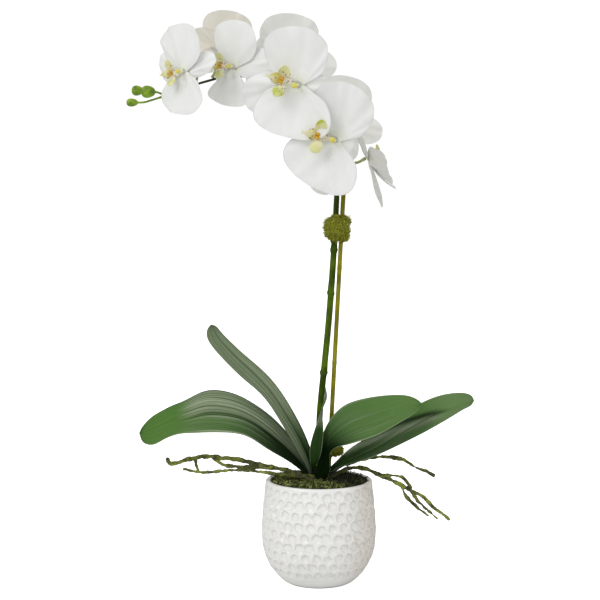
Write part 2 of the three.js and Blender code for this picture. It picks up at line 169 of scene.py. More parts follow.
# %% Tubes along a route
def tube(bm, line, radius_at, around, steps):
    """A closed tube. radius_at(share, angle) is in metres."""
    rings = []
    side = line.along(0).orthogonal().normalized()
    for step in range(steps + 1):
        ahead = line.along(step / steps)
        side = (side - ahead * side.dot(ahead)).normalized()
        rings.append((line.at(step / steps), side, ahead.cross(side)))

    def shape(across, share, through, ring):
        step = round(share * steps)
        centre, right, up = rings[step]
        radius = radius_at(step / steps, math.atan2(through, across)) if ring else 0.0
        return centre + (right * across + up * through) * radius

    made = grow(bm, shape, around, steps)
    place = bm.verts.layers.float_vector["place"]
    for vert in made:
        vert[place].y = math.acos(1 - 2 * vert[place].y) / math.pi
    return made


# %% [markdown]
# ## From bmesh to a finished piece
#
# Each piece ends in the same way. Its faces are turned outwards, it becomes a smooth-shaded
# mesh object at the origin, it takes a material, it is hung on the body it moves with, and the
# CAD nodes it stands for are hidden.

# %% Finishing a piece
def place_piece(name, bm, material, slot, *nodes, subdivide=0):
    bmesh.ops.recalc_face_normals(bm, faces=bm.faces)
    mesh = bpy.data.meshes.new(name)
    bm.to_mesh(mesh)
    bm.free()
    mesh.shade_smooth()
    mesh.materials.append(material)
    piece = bpy.data.objects.new(name, mesh)
    bpy.context.scene.collection.objects.link(piece)
    if subdivide:
        finer = piece.modifiers.new("finer", "SUBSURF")
        finer.levels = finer.render_levels = subdivide
    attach(piece, "root")
    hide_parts(*nodes)
    triangles = sum(len(face.vertices) - 2 for face in mesh.polygons) * 4 ** subdivide
    print(f"{name}: {triangles} triangles")
    return piece


# %% [markdown]
# ## Shader sums in plain Python
#
# A procedural material is mostly arithmetic on masks. `Wire` wraps a node socket and overloads
# the operators, so `1 - mask` or `mask * 0.4` adds the Math nodes by itself. `Finish` makes
# every node through one method, `node`: first the type, then its settings, then its inputs.

# %% Wires and finishes
class Wire:
    """An output socket that can be used in sums."""

    def __init__(self, finish, socket):
        self.finish = finish
        self.socket = socket

    def sum(self, operation, *values):
        return self.finish.node(
            "ShaderNodeMath", {"operation": operation}, dict(enumerate(values))
        )

    def __add__(self, other):
        return self.sum("ADD", self, other)

    def __sub__(self, other):
        return self.sum("SUBTRACT", self, other)

    def __rsub__(self, other):
        return self.sum("SUBTRACT", other, self)

    def __mul__(self, other):
        return self.sum("MULTIPLY", self, other)

    def __truediv__(self, other):
        return self.sum("DIVIDE", self, other)

    def __pow__(self, other):
        return self.sum("POWER", self, other)

    def __abs__(self):
        return self.sum("ABSOLUTE", self)

    __radd__ = __add__
    __rmul__ = __mul__

    def wave(self):
        return self.sum("SINE", self)


def paint(code):
    """A colour given the way a paint chart gives it, as linear light for a shader."""
    parts = [int(code[at:at + 2], 16) / 255 for at in (0, 2, 4)]
    return [*(p / 12.92 if p < 0.04045 else ((p + 0.055) / 1.055) ** 2.4 for p in parts), 1.0]


class Finish:
    """A material whose nodes are all made by the same method."""

    def __init__(self, name):
        self.material = bpy.data.materials.new(name)
        self.material.use_nodes = True
        self.material.node_tree.nodes.clear()

    def node(self, kind, settings=None, inputs=None, out=0):
        made = self.material.node_tree.nodes.new(kind)
        for key, value in (settings or {}).items():
            if key == "stops":
                stops = made.color_ramp.elements
                while len(stops) < len(value):
                    stops.new(0.5)
                for stop, (position, color) in zip(stops, value):
                    stop.position, stop.color = position, color
            else:
                setattr(made, key, value)
        for key, value in (inputs or {}).items():
            if isinstance(value, Wire):
                self.material.node_tree.links.new(value.socket, made.inputs[key])
            else:
                made.inputs[key].default_value = value
        return Wire(self, made.outputs[out]) if made.outputs else None

    def attribute(self, name):
        """The three numbers of an attribute, each as its own wire."""
        whole = self.node("ShaderNodeAttribute", {"attribute_name": name}, out="Vector")
        return [self.node("ShaderNodeSeparateXYZ", {}, {0: whole}, out=axis) for axis in range(3)]

    def object_place(self):
        return self.node("ShaderNodeTexCoord", {}, out="Object")

    def noise(self, where, scale, detail=3.0, roughness=0.5, distortion=0.0):
        return self.node("ShaderNodeTexNoise", {}, {
            "Vector": where, "Scale": scale, "Detail": detail, "Roughness": roughness,
            "Distortion": distortion,
        })

    def range(self, value, low, high, to_low=0.0, to_high=1.0):
        """The value rescaled from one range to another with a soft start and end."""
        return self.node("ShaderNodeMapRange", {"interpolation_type": "SMOOTHSTEP"}, {
            "Value": value, "From Min": low, "From Max": high,
            "To Min": to_low, "To Max": to_high,
        })

    def mix(self, factor, a, b):
        return self.node(
            "ShaderNodeMix", {"data_type": "RGBA"}, {0: factor, 6: a, 7: b}, out=2
        )

    def vector(self, x, y, z):
        return self.node("ShaderNodeCombineXYZ", {}, {0: x, 1: y, 2: z})

    def bump(self, height, distance, strength=1.0):
        """Surface relief: height runs from 0 to 1 and distance, in metres, is its full depth."""
        return self.node("ShaderNodeBump", {}, {
            "Height": height, "Distance": distance, "Strength": strength,
        })

    def shade(self, color, roughness, **fixed):
        """Ends the material with a Principled shader."""
        sockets = {"Base Color": color, "Roughness": roughness}
        sockets.update({key.replace("_", " "): value for key, value in fixed.items()})
        shader = self.node("ShaderNodeBsdfPrincipled", {}, sockets)
        self.node("ShaderNodeOutputMaterial", {}, {"Surface": shader})
        return self.material


# %% [markdown]
# ## The pot
#
# The pot is stoneware with a satin white glaze. Its wall was pressed all over with a round
# tool, row above row, each row half a step round from the one below, so soft ridges are left
# between shallow dimples. The dimples are large enough to see from across a room, so they
# belong in the mesh and not only in the material.
#
# The wall's profile is measured on the CAD node: the widest point at each height. It is spun
# once round with `bmesh.ops.spin`, in steps fine enough for a dimple to have a floor and a
# rim, and then each point of the wall is pushed in by the dimple it falls in.

# %% Measure the pot
def pot_profile():
    """(height, widest radius) of every ring of the CAD pot's outside, in metres."""
    widest = {}
    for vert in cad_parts["pot"].data.vertices:
        height = round(vert.co.z, 4)
        widest[height] = max(widest.get(height, 0), math.hypot(vert.co.x, vert.co.y))
    return sorted(widest.items())


pot_low, pot_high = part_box("pot")
belly = pot_high.x
profile = pot_profile()
wall_rings = [
    (radius, height) for height, radius in profile if radius > 0.02 and height < pot_high.z - 0.001
    and (height < 0.0065 or abs(height - 0.007) > 0.0004)
]
outside = Route(*[(radius / MM, 0, height / MM) for radius, height in wall_rings])
print("pot: belly", round(belly, 4), "rings", [tuple(round(v, 4) for v in r) for r in wall_rings])

# %% Dimples
DIMPLES_ROUND = 31
ROW_STEP = 10.3 * MM
ROWS = 9
DIMPLE_RADIUS = 5.0 * MM
DIMPLE_DEPTH = 1.7 * MM
FIRST_ROW = 6.4 * MM


def dimple_rows(seed):
    """Rows of (turn, distance up the wall, size) for every dimple, none quite where it should be."""
    dice = random.Random(seed)
    rows = []
    for row in range(ROWS):
        up = outside.reach[-1] - FIRST_ROW - row * ROW_STEP
        first = 0.5 * (row % 2) + dice.uniform(-0.12, 0.12)
        rows.append([
            (
                (number + first + dice.uniform(-0.09, 0.09)) / DIMPLES_ROUND,
                up + dice.uniform(-1.0, 1.0) * MM,
                dice.uniform(0.82, 1.08),
            )
            for number in range(DIMPLES_ROUND)
        ])
    return rows


rows = dimple_rows(4)


def dimple_depth(turn, up, radius):
    """How far the wall is pressed in at a share of a turn and a distance up the wall."""
    pressed = 0.0
    nearest_row = round((outside.reach[-1] - FIRST_ROW - up) / ROW_STEP)
    for row in (nearest_row - 1, nearest_row, nearest_row + 1):
        if not 0 <= row < ROWS:
            continue
        for number in (-1, 0, 1):
            index = (math.floor(turn * DIMPLES_ROUND) + number) % DIMPLES_ROUND
            centre, height, size = rows[row][index]
            round_by = (turn - centre + 0.5) % 1 - 0.5
            reach = math.hypot(round_by * math.tau * radius, up - height)
            reach *= 1 + 0.3 * noise.noise(Vector((turn * 170, up / 0.004, index * 3.1)))
            width = DIMPLE_RADIUS * size * min(radius / belly, 1)
            press = max(0, 1 - (reach / width) ** 5)
            ridge = 0.26 * math.exp(-(((reach / width - 1.14) / 0.12) ** 2))
            pressed = max(pressed, press) if press > 0 else max(pressed, 0) - ridge * (pressed == 0)
    return pressed * DIMPLE_DEPTH


# %% Spin the pot
def build_pot():
    bm = new_bmesh()
    wall_steps = 150
    rim_radius, rim_height = outside.points[-1].x, pot_high.z
    thickness = 5 * MM
    line = [(0, 0), (outside.points[0].x * 0.6, 0)]
    line += [(outside.at(n / wall_steps).x, outside.at(n / wall_steps).z) for n in range(wall_steps + 1)]
    lip = (rim_radius - thickness / 2, rim_height)
    for degrees in (25, 50, 75, 90, 105, 130, 155):
        angle = math.radians(degrees)
        line.append((
            lip[0] + thickness / 2 * math.cos(angle), lip[1] - 1.5 * MM * (1 - math.sin(angle)),
        ))
    line += [
        (outside.at(n / 12).x - thickness, max(outside.at(n / 12).z, 7.0 * MM))
        for n in range(12, 1, -1)
    ]
    line.append((0, 7.0 * MM))
    chain = [bm.verts.new((x, 0, z)) for x, z in line]
    edges = [bm.edges.new(pair) for pair in zip(chain, chain[1:])]
    bmesh.ops.spin(
        bm, geom=chain + edges, cent=(0, 0, 0), axis=(0, 0, 1), angle=math.tau,
        steps=DIMPLES_ROUND * 16, use_merge=True,
    )
    bmesh.ops.remove_doubles(bm, verts=bm.verts, dist=1e-6)
    heights = [outside.at(n / 400).z for n in range(401)]
    place = bm.verts.layers.float_vector["place"]
    for vert in bm.verts:
        radius, height = math.hypot(vert.co.x, vert.co.y), vert.co.z
        low = next((n for n, other in enumerate(heights) if other >= height), 400)
        outer = outside.at(low / 400).x
        if radius < outer - 1.2 * MM or height > rim_height - 0.9 * MM or height < 0.4 * MM:
            continue
        up = outside.reach[-1] * low / 400
        turn = math.atan2(vert.co.y, vert.co.x) / math.tau % 1
        fade = smooth(0.0, 1.6 * MM, rim_height - 1.6 * MM - height) * smooth(6 * MM, 22 * MM, up)
        depth = dimple_depth(turn, up, radius) * fade
        vert[place] = Vector((depth / DIMPLE_DEPTH, 0, 1))
        ahead = outside.along(low / 400)
        around = turn * math.tau
        inwards = Vector((-math.cos(around) * ahead.z, -math.sin(around) * ahead.z, ahead.x))
        hammered = 0.35 * noise.noise(vert.co / 0.006) + 0.15 * noise.noise(vert.co / 0.0025)
        vert.co += inwards * (depth + hammered * fade * MM)
    return bm


# %% [markdown]
# ### Glaze
#
# The glaze is nearly white. Shade is painted into it: a warm grey over the right side of the
# pot, away from the key lamp, and a grey ring on the wall of each dimple, stronger on the
# right. The ridges are specked with a few worn marks, which grow stronger where the right side
# is shaded. Satin glaze scatters its highlight, so the roughness sits near the middle and
# varies a little.

# %% Glaze material and pot piece
def glaze():
    finish = Finish("white_glaze")
    where = finish.object_place()
    dimple = finish.attribute("place")[0]
    cloud = finish.noise(where, 22, 4, 0.55)
    fine = finish.noise(where, 420, 4, 0.6)
    across = finish.node("ShaderNodeSeparateXYZ", {}, {0: where}, out=0)
    # Painted shade: the right side of the pot, away from the key lamp, turns a warm grey.
    right_side_shade = finish.range(across + (cloud - 0.5) * 0.03, 0.018, 0.062)
    # Worn marks on the ridges; their mask and strength also follow the painted shade on the right.
    worn_marks_and_shade = finish.range(finish.noise(where, 130, 6, 0.75, 0.6) + right_side_shade * 0.1, 0.6, 0.72)
    thin = finish.range(dimple, 0.4, 0.0)
    color = finish.mix(cloud, paint("f3f2ee"), paint("fcfcfa"))
    # Painted shade: a grey ring on each dimple's wall, stronger on the right side.
    edge = finish.range(dimple, 0.02, 0.3) * finish.range(dimple, 0.97, 0.6)
    color = finish.mix(edge * (right_side_shade * 0.35 + 0.16), color, paint("aaa79d"))
    color = finish.mix(right_side_shade * 0.72, color, paint("ddd2c4"))
    color = finish.mix(worn_marks_and_shade * thin * (right_side_shade * 0.45 + 0.25), color, paint("94897a"))
    relief = finish.bump(fine * 0.5 + cloud * 0.5, 0.00035)
    return finish.shade(color, finish.range(cloud, 0.3, 0.7, 0.34, 0.5), Normal=relief,
                        Coat_Weight=1.0, Coat_Roughness=0.1)


GLAZE = glaze()
place_piece("orchid_pot", build_pot(), GLAZE, "white_glaze", "pot")

# %% [markdown]
# ## Leaves
#
# A moth orchid's leaf is a thick leathery strap. It has no fine net of veins: parallel ridges
# run from foot to tip beside a sunken midrib, and the rim is a pale thin line. Each leaf is
# drawn by its two edges, seen from the foot. The sphere is laid between them, and the relief
# adds the channel, the midrib and the ridges.
#
# Each leaf also says where a grey sheen is painted on it in place of reflected light, where it
# is darkened, mostly by painted shade at its foot, along its creases and at some edges, and
# how clearly its ridges show. Those are functions of the place across (-1 at the right edge, 1
# at the left) and the share of the length.

# %% Leaf edges
# For each leaf: where a grey sheen is painted in place of reflected light, where shade is painted (mostly at
# the foot, along creases and at some edges), and how strong the ridge stripes are.
LEAVES = {
    "leaf_upright_left": dict(
        channel=4, vee=0.3, ridges=2.5, rib=0.3, seed=1,
        painted_sheen=lambda x, s: 0.95 - 0.8 * smooth(0.1, -0.3, x) * smooth(0.5, 0.15, s),
        dark=lambda x, s: 0.8 * smooth(0.42, 0.06, s) * smooth(0.3, -0.5, x)
        + 0.35 * smooth(0.14, 0, s) + 0.4 * math.exp(-(((x + 0.32) / 0.1) ** 2))
        + 0.3 * math.exp(-(((x - 0.3) / 0.08) ** 2))
        + 0.7 * smooth(0.9, 0.97, abs(x)),
        stripes=lambda x, s: 0.6,
        right=((0, 4, 104), (-4, 6, 118), (-8, 6, 134), (-21, 13, 162), (-48, 18, 202),
               (-80, 16, 233), (-97.5, 12, 251), (-102.5, 8, 257.5), (-107.5, 3, 260)),
        left=((-9, -3, 104), (-12, -4, 116), (-19, -6, 129), (-31, -9, 151), (-55, -12, 189),
              (-79, -12, 211), (-107, -8, 240), (-112, -3, 248.5), (-111.5, 1, 256), (-107.5, 3, 260)),
    ),
    "leaf_drooping_left": dict(
        channel=4, vee=0.2, ridges=4.5, rib=0.42, crease=0.77, seed=2,
        painted_sheen=lambda x, s: (0.82 * smooth(0.02, -0.06, x) + 0.25) * smooth(0.78, 0.68, s),
        dark=lambda x, s: smooth(0.56, 0.2, s) * (0.62 + 0.38 * smooth(-0.1, 0.1, x))
        * (1 - 0.75 * smooth(-0.1, -0.35, x) * smooth(0.06, 0.2, s))
        + 0.45 * math.exp(-(((x + 0.02) / 0.09) ** 2)) * smooth(0.78, 0.6, s)
        + 0.7 * smooth(-0.9, -0.97, x),
        stripes=lambda x, s: 1.0 * smooth(0.79, 0.7, s) * smooth(0.1, 0.3, s),
        right=((-6, 6, 102), (-9, 7, 114), (-14, 6, 126), (-27, 10, 145), (-44, 10, 164),
               (-62, 8, 178), (-86, 4, 191), (-112, -2, 195), (-137, -8, 184), (-164, -18, 172),
               (-174, -27, 163), (-177, -36, 157)),
        left=((-4, -9, 102), (-11, -10, 109), (-19, -10, 115), (-31, -20, 126), (-50, -28, 139),
              (-73, -36, 155), (-102, -42, 159), (-144, -48, 156), (-163, -48, 147),
              (-172, -46, 149), (-177, -36, 157)),
    ),
    "leaf_small_centre": dict(
        channel=2, vee=0.6, ridges=1.5, rib=0.15, seed=3, upper=-1,
        painted_sheen=lambda x, s: smooth(0.5, 0.6, s) + 0.9 * smooth(0.86, 0.94, abs(x)),
        dark=lambda x, s: 0.62 * smooth(0.62, 0.48, s) * smooth(0.96, 0.88, abs(x)) + 0.4 * smooth(0.2, 0, s),
        stripes=lambda x, s: 0.1,
        right=((-6.5, -9, 113), (-9, -16, 125), (-9, -17, 140), (-3, -15, 161), (1, -11, 173),
               (5, -9, 186), (6, -8, 201)),
        left=((-6.5, -9, 113), (1, -17, 130), (4, -18, 150), (4, -15, 164), (3, -11, 174),
              (8, -9, 188), (6, -8, 201)),
    ),
    "leaf_front_right": dict(
        channel=3, vee=0.1, ridges=1.7, rib=0.42, midrib=0.35, seed=4,
        painted_sheen=lambda x, s: 0.12 + 0.75 * smooth(-0.93, -0.97, x),
        dark=lambda x, s: smooth(0.5, 0.2, s + 0.07 * x) * smooth(-0.98, -0.93, x),
        stripes=lambda x, s: 0.25,
        right=((7, -6, 103), (11, -10, 113), (10.5, -13, 124), (10.5, -17, 133), (16, -24, 140),
               (28, -35, 145), (41, -40, 150), (56, -43, 156), (86, -40, 172), (96, -34, 178),
               (102, -26, 184)),
        left=((-3, -7, 104), (-2, -8, 118), (0, -9, 132), (1.5, -9, 145), (6.5, -9, 157),
              (14, -8, 169), (26, -8, 180), (42, -8, 186), (72, -10, 191), (88, -14, 191),
              (97, -20, 188), (102, -26, 184)),
    ),
    "leaf_long_right": dict(
        channel=7, vee=0.9, ridges=2, rib=0.25, seed=5,
        painted_sheen=lambda x, s: math.exp(-(((x + 2.1 * s - 1.34) / 0.25) ** 2)) * smooth(0.8, 0.7, s)
        + 0.35 * smooth(0.6, 0.85, s),
        dark=lambda x, s: 0.97 * math.exp(-(((x + 2.1 * s - 1.66) / 0.13) ** 2)) * smooth(0.84, 0.7, s)
        + 0.85 * smooth(0.14, 0.03, s)
        + 0.5 * smooth(0.0, -0.2, x + 2.1 * s - 1.2) * smooth(0.5, 0.15, s),
        stripes=lambda x, s: 0.6 * smooth(0, 0.12, x) * smooth(0.85, 0.6, s),
        right=((-2, -6, 103), (11, -12, 113), (21, -17, 120), (36, -23, 125), (66, -28, 137),
               (96, -28, 152), (127, -24, 169), (143, -18, 177.5), (151, -13, 180.5),
               (155, -7, 184.5)),
        left=((4, 3, 104), (10, 4, 114), (18, 5, 122), (32, 14, 133), (57, 21, 147),
              (83, 24, 165), (106, 23, 179), (120, 20, 185), (134, 15, 188.5), (147, 6, 190),
              (153, -1, 188.5), (155, -7, 184.5)),
    ),
}
LEAF_THICKNESS = 1.8 * MM


# %% Grow the leaves
def leaf_relief(across, share, ring, leaf):
    """The lift of the blade off the flat strip between its edges, in metres."""
    fade = ring * smooth(0.02, 0.2, share)
    ribs = leaf["stripes"](across, share) * 0.5 + 0.5
    lift = -leaf["channel"] * ring * blend(1 - across * across, 1 - abs(across), leaf["vee"])
    lift -= leaf.get("midrib", 1) * math.exp(-((across / 0.07) ** 2)) * fade
    lift += leaf["rib"] * math.cos(across * math.tau * leaf["ridges"]) * fade * ribs
    lift += 2.0 * noise.noise(Vector((across * 1.3, share * 3.1, leaf["seed"] * 7.7))) * ring
    if "crease" in leaf:
        bend = (share - leaf["crease"] + 0.03 * across) / 0.03
        lift += 1.3 * math.exp(-(bend ** 2)) * ring
    return lift * MM


def build_leaf(leaf):
    bm = new_bmesh()
    right_edge, left_edge = Route(*leaf["right"]), Route(*leaf["left"])

    def shape(across, share, through, ring):
        along = eased(share)
        start, end = right_edge.at(along), left_edge.at(along)
        width = end - start
        forward = right_edge.along(along) + left_edge.along(along)
        up = forward.cross(width).normalized()
        lift = leaf_relief(across, along, ring, leaf)
        lift += through * math.sqrt(ring) * LEAF_THICKNESS / 2
        return start.lerp(end, (across + 1) / 2) + up * lift

    made = grow(bm, shape, 84, 48)
    place, fan = (bm.verts.layers.float_vector[name] for name in ("place", "fan"))
    for vert in made:
        across, along, side = vert[place]
        vert[place].z = side * leaf.get("upper", 1)
        vert[fan] = Vector([
            min(max(leaf[look](across, along), 0), 1) for look in ("painted_sheen", "dark", "stripes")
        ])
    return bm


# %% [markdown]
# ### Leaf skin
#
# The top is a deep waxy green that pales towards the tip. Painted shade darkens it nearly to
# black at the foot, along creases and at some edges, and a painted grey sheen stands in for
# reflected light wherever each leaf lists it. Broad veins and fine ones are drawn along the
# length by waves of the place across, bent a little by noise so that no two run quite
# parallel. The underside is paler and greyer. A thin clear coat gives the long soft bands of
# reflected light.

# %% Leaf material and pieces
def leaf_skin():
    finish = Finish("leaf_skin")
    across, along, side = finish.attribute("place")
    painted_sheen, dark, stripes = finish.attribute("fan")
    where = finish.object_place()
    drift = finish.noise(where, 14, 3)
    bent = across + (drift - 0.5) * 0.05
    fine = (bent * 92).wave() * 0.5 + 0.5
    broad = finish.noise(finish.vector(bent * 6.5, along * 0.35, 0.3), 3.0, 4, 0.6)
    mottle = finish.noise(where, 60, 5, 0.65)
    top = finish.mix(finish.range(along, 0.2, 0.9), paint("35601a"), paint("5b8638"))
    top = finish.mix(finish.range(broad, 0.36, 0.62) * 0.45, top, paint("2c5416"))
    # Painted sheen: a grey that stands in for light reflected off the leaf.
    grey = finish.mix(finish.range(broad, 0.35, 0.65), paint("788767"), paint("9ba68b"))
    top = finish.mix(painted_sheen * 0.85, top, grey)
    under = finish.mix(finish.range(fine, 0.5, 1.0) * 0.3, paint("7d8a6c"), paint("98a388"))
    color = finish.mix(finish.range(side, 0.1, -0.1), top, under)
    lines = finish.range(broad, 0.56, 0.64) * stripes
    color = finish.mix(lines * 0.75, color, paint("b7c0a8"))
    color = finish.mix(finish.range(broad, 0.44, 0.36) * stripes * 0.8, color, paint("27411b"))
    color = finish.mix(finish.range(fine, 0.6, 1.0) * 0.1, color, paint("9db08a"))
    color = finish.mix(mottle * 0.15, color, paint("3c5a2e"))
    # Painted shade, nearly black, at the foot, along creases and at some edges.
    color = finish.mix(dark * 0.97, color, paint("051a02"))
    rim = finish.range(abs(across), 0.93, 0.965)
    rim = rim * finish.range(side, 0.1, -0.1, 0.35, 0.9) * (1 - dark)
    color = finish.mix(rim, color, paint("a3af8b"))
    relief = finish.bump(fine * 0.2 + broad * 0.65 + mottle * 0.15, 0.0008)
    gloss = finish.range(mottle, 0.3, 0.7, 0.38, 0.5)
    return finish.shade(color, gloss + dark * 0.4, Normal=relief, Specular_IOR_Level=0.07,
                        Coat_Weight=(1 - dark) * 0.09, Coat_Roughness=0.35)


LEAF = leaf_skin()
for leaf_name, leaf in LEAVES.items():
    place_piece(leaf_name + "_blade", build_leaf(leaf), LEAF, "leaf", leaf_name, subdivide=1)

# %% [markdown]
# ## Stems
#
# The flower spike is a round green stem. Every hand's width it has a node: a swollen ring with
# a dry sheath that hugs the stem above it. It thins towards the buds. The stake behind it is a
# straight cane with a rounded top, and each flower hangs on a stalk that leaves the spike and
# turns pale where it meets the flower.

# %% The flower spike
SPIKE_RADIUS = 3.2 * MM
SPIKE_TIP_RADIUS = 1.1 * MM
NODES = ((0.185, 0.4), (0.335, 2.2), (0.415, 4.0), (0.63, 1.0), (0.75, 3.0), (0.87, 5.0))


def spike_radius(share, angle):
    radius = blend(SPIKE_RADIUS, SPIKE_TIP_RADIUS, smooth(0.3, 1, share))
    for at, facing in NODES:
        past = (share - at) * spike_line.reach[-1] / MM
        radius += 0.75 * MM * math.exp(-((past / 1.5) ** 2)) * radius / SPIKE_RADIUS
        if 0 < past < 13:
            wrap = smooth(-0.3, 0.5, math.cos(angle - facing) + 0.6 - past / 10)
            radius += 0.5 * MM * wrap * (1 - past / 16) * radius / SPIKE_RADIUS
    return radius


def build_spike():
    bm = new_bmesh()
    tube(bm, spike_line, spike_radius, 20, 300)
    return bm


# %% [markdown]
# ### Stem skins
#
# The spike is mottled yellow-green and darker green, with faint lengthwise fibres, and it
# darkens along its arch. Stretching a noise along the stem draws the fibres. The cane is drier
# and more yellow, and its fibres are longer.

# %% Stem materials
def fibrous(name, dark, light, streak, scale, roughness, arch_darkening=0.0):
    """A stem's skin: two colours mixed by a noise that is stretched along Z."""
    finish = Finish(name)
    where = finish.node(
        "ShaderNodeMapping", {}, {"Vector": finish.object_place(), "Scale": (1, 1, 0.12)}
    )
    fibre = finish.noise(where, scale, 5, 0.6)
    cloud = finish.noise(finish.object_place(), 38, 4, 0.6)
    color = finish.mix(finish.range(cloud, 0.35, 0.68), paint(dark), paint(light))
    color = finish.mix(finish.range(fibre, 0.52, 0.72) * 0.5, color, paint(streak))
    along = finish.attribute("place")[1]
    # The spike darkens along its arch.
    arch = finish.range(along, 0.7, 0.76) * finish.range(along, 0.97, 0.93)
    color = finish.mix(arch * arch_darkening, color, paint("20260f"))
    relief = finish.bump(fibre, 0.0004)
    return finish.shade(color, finish.range(fibre, 0.3, 0.7, roughness, roughness + 0.16),
                        Normal=relief, Specular_IOR_Level=0.09)


STEM = fibrous("stem_skin", "2c4005", "567110", "1c2905", 620, 0.42, arch_darkening=0.8)
CANE = fibrous("cane_skin", "6f6c10", "9d9622", "4f4a0c", 700, 0.5)
STALK = fibrous("stalk_skin", "7d8a45", "b9bf86", "5d6b2a", 700, 0.4)
place_piece("flower_spike_stem", build_spike(), STEM, "green_stem", "flower_spike")

# %% The stake
stake_low, stake_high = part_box("stake")
STAKE_RADIUS = 2.2 * MM


def stake_line():
    """The cane's middle line, between the middles of the CAD cane's two ends."""
    verts = [vert.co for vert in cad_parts["stake"].data.vertices]
    foot = [co for co in verts if co.z < stake_low.z + 0.002]
    head = [co for co in verts if co.z > stake_high.z - 0.002]
    ends = [sum(group, Vector()) / len(group) for group in (foot, head)]
    return Route(*[ends[0].lerp(ends[1], n / 6) / MM for n in range(7)])


def stake_radius(share, angle):
    length = (stake_high - stake_low).length
    joint = math.cos(share * length / (96 * MM) * math.tau)
    end = min(share, 1 - share) * length
    rounding = math.sqrt(max(1 - max(1 - end / STAKE_RADIUS, 0) ** 2, 0.06))
    return STAKE_RADIUS * (1 + 0.09 * smooth(0.985, 1.0, joint)) * rounding


def build_stake():
    bm = new_bmesh()
    tube(bm, stake_line(), stake_radius, 20, 260)
    return bm


place_piece("cane_stake", build_stake(), CANE, "cane_stake", "stake")

# %% [markdown]
# ## Finding a flower's own frame
#
# Each flower is modelled once, upright and facing us, and then set in its place. Its place is
# read from the CAD: the column is a small egg on a known slant, and the lip hangs straight
# below it. The egg's long axis gives one direction, the way to the lip gives another, and the
# lip's length gives the size.

# %% Read the eight flower frames
COLUMN_TILT = math.radians(12)
COLUMN_MIDDLE = Vector((0, 0.6, 6.05))
LIP_REACH = 25.0


def points_of(node):
    """The distinct corners of a CAD node."""
    seen = {tuple(round(value, 6) for value in vert.co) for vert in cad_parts[node].data.vertices}
    return [Vector(point) for point in sorted(seen)]


def middle_of(points):
    return sum(points, Vector()) / len(points)


def long_axis(points, middle):
    """The direction in which the points spread the most, by repeated multiplication."""
    spread = Matrix(((0, 0, 0), (0, 0, 0), (0, 0, 0)))
    for point in points:
        away = point - middle
        for row in range(3):
            for column in range(3):
                spread[row][column] += away[row] * away[column]
    axis = Vector((0.3, 0.5, 0.8))
    for _ in range(80):
        axis = (spread @ axis).normalized()
    return axis


def flower_frame(name):
    """(matrix from the flower's millimetres to the scene, size) read from its CAD nodes."""
    column, lip = points_of(name + "_column"), points_of(name + "_lip")
    sepals = middle_of(points_of(name + "_sepals"))
    middle = middle_of(column)
    axis = long_axis(column, middle)
    if axis.dot(middle - sepals) < 0:
        axis.negate()
    away = middle - middle_of(lip)
    away = (away - axis * away.dot(axis)).normalized()
    facing = axis * math.cos(COLUMN_TILT) + away * math.sin(COLUMN_TILT)
    upper = away * math.cos(COLUMN_TILT) - axis * math.sin(COLUMN_TILT)
    across = upper.cross(facing)
    reach = [point.dot(upper) for point in lip]
    size = (max(reach) - min(reach)) / (LIP_REACH * MM)
    turn = Matrix((across, upper, facing)).transposed()
    hub = middle - turn @ (COLUMN_MIDDLE * size * MM)
    return Matrix.Translation(hub) @ (turn * (size * MM)).to_4x4(), size


flower_frames = {f"flower_{n}": flower_frame(f"flower_{n}") for n in range(1, 9)}
for flower_name, (matrix, size) in flower_frames.items():
    print(flower_name, "hub", [round(v, 4) for v in matrix.translation], "size", round(size, 3))

# %% [markdown]
# ## Petals and sepals
#
# A moth orchid has two broad petals in front and three oval sepals behind them. Each is a thin
# sheet that narrows to a claw, with one soft fold down the middle, shallow billows that run out
# to the rim, and a rim that waves. We work in the flower's own millimetres: X across, Y to the
# upper sepal, Z to the viewer. All the relief is a height above the flat outline, so
# neighbouring petals can share one dished surface and never cut through each other.

# %% Petal proportions
PETAL_LENGTH, PETAL_WIDTH = 56, 72
SEPAL_LENGTH, SEPAL_WIDTH = 50, 36
LOBE_START = 3
PETAL_THICKNESS = 0.9
SEPAL_DROP = 1.9

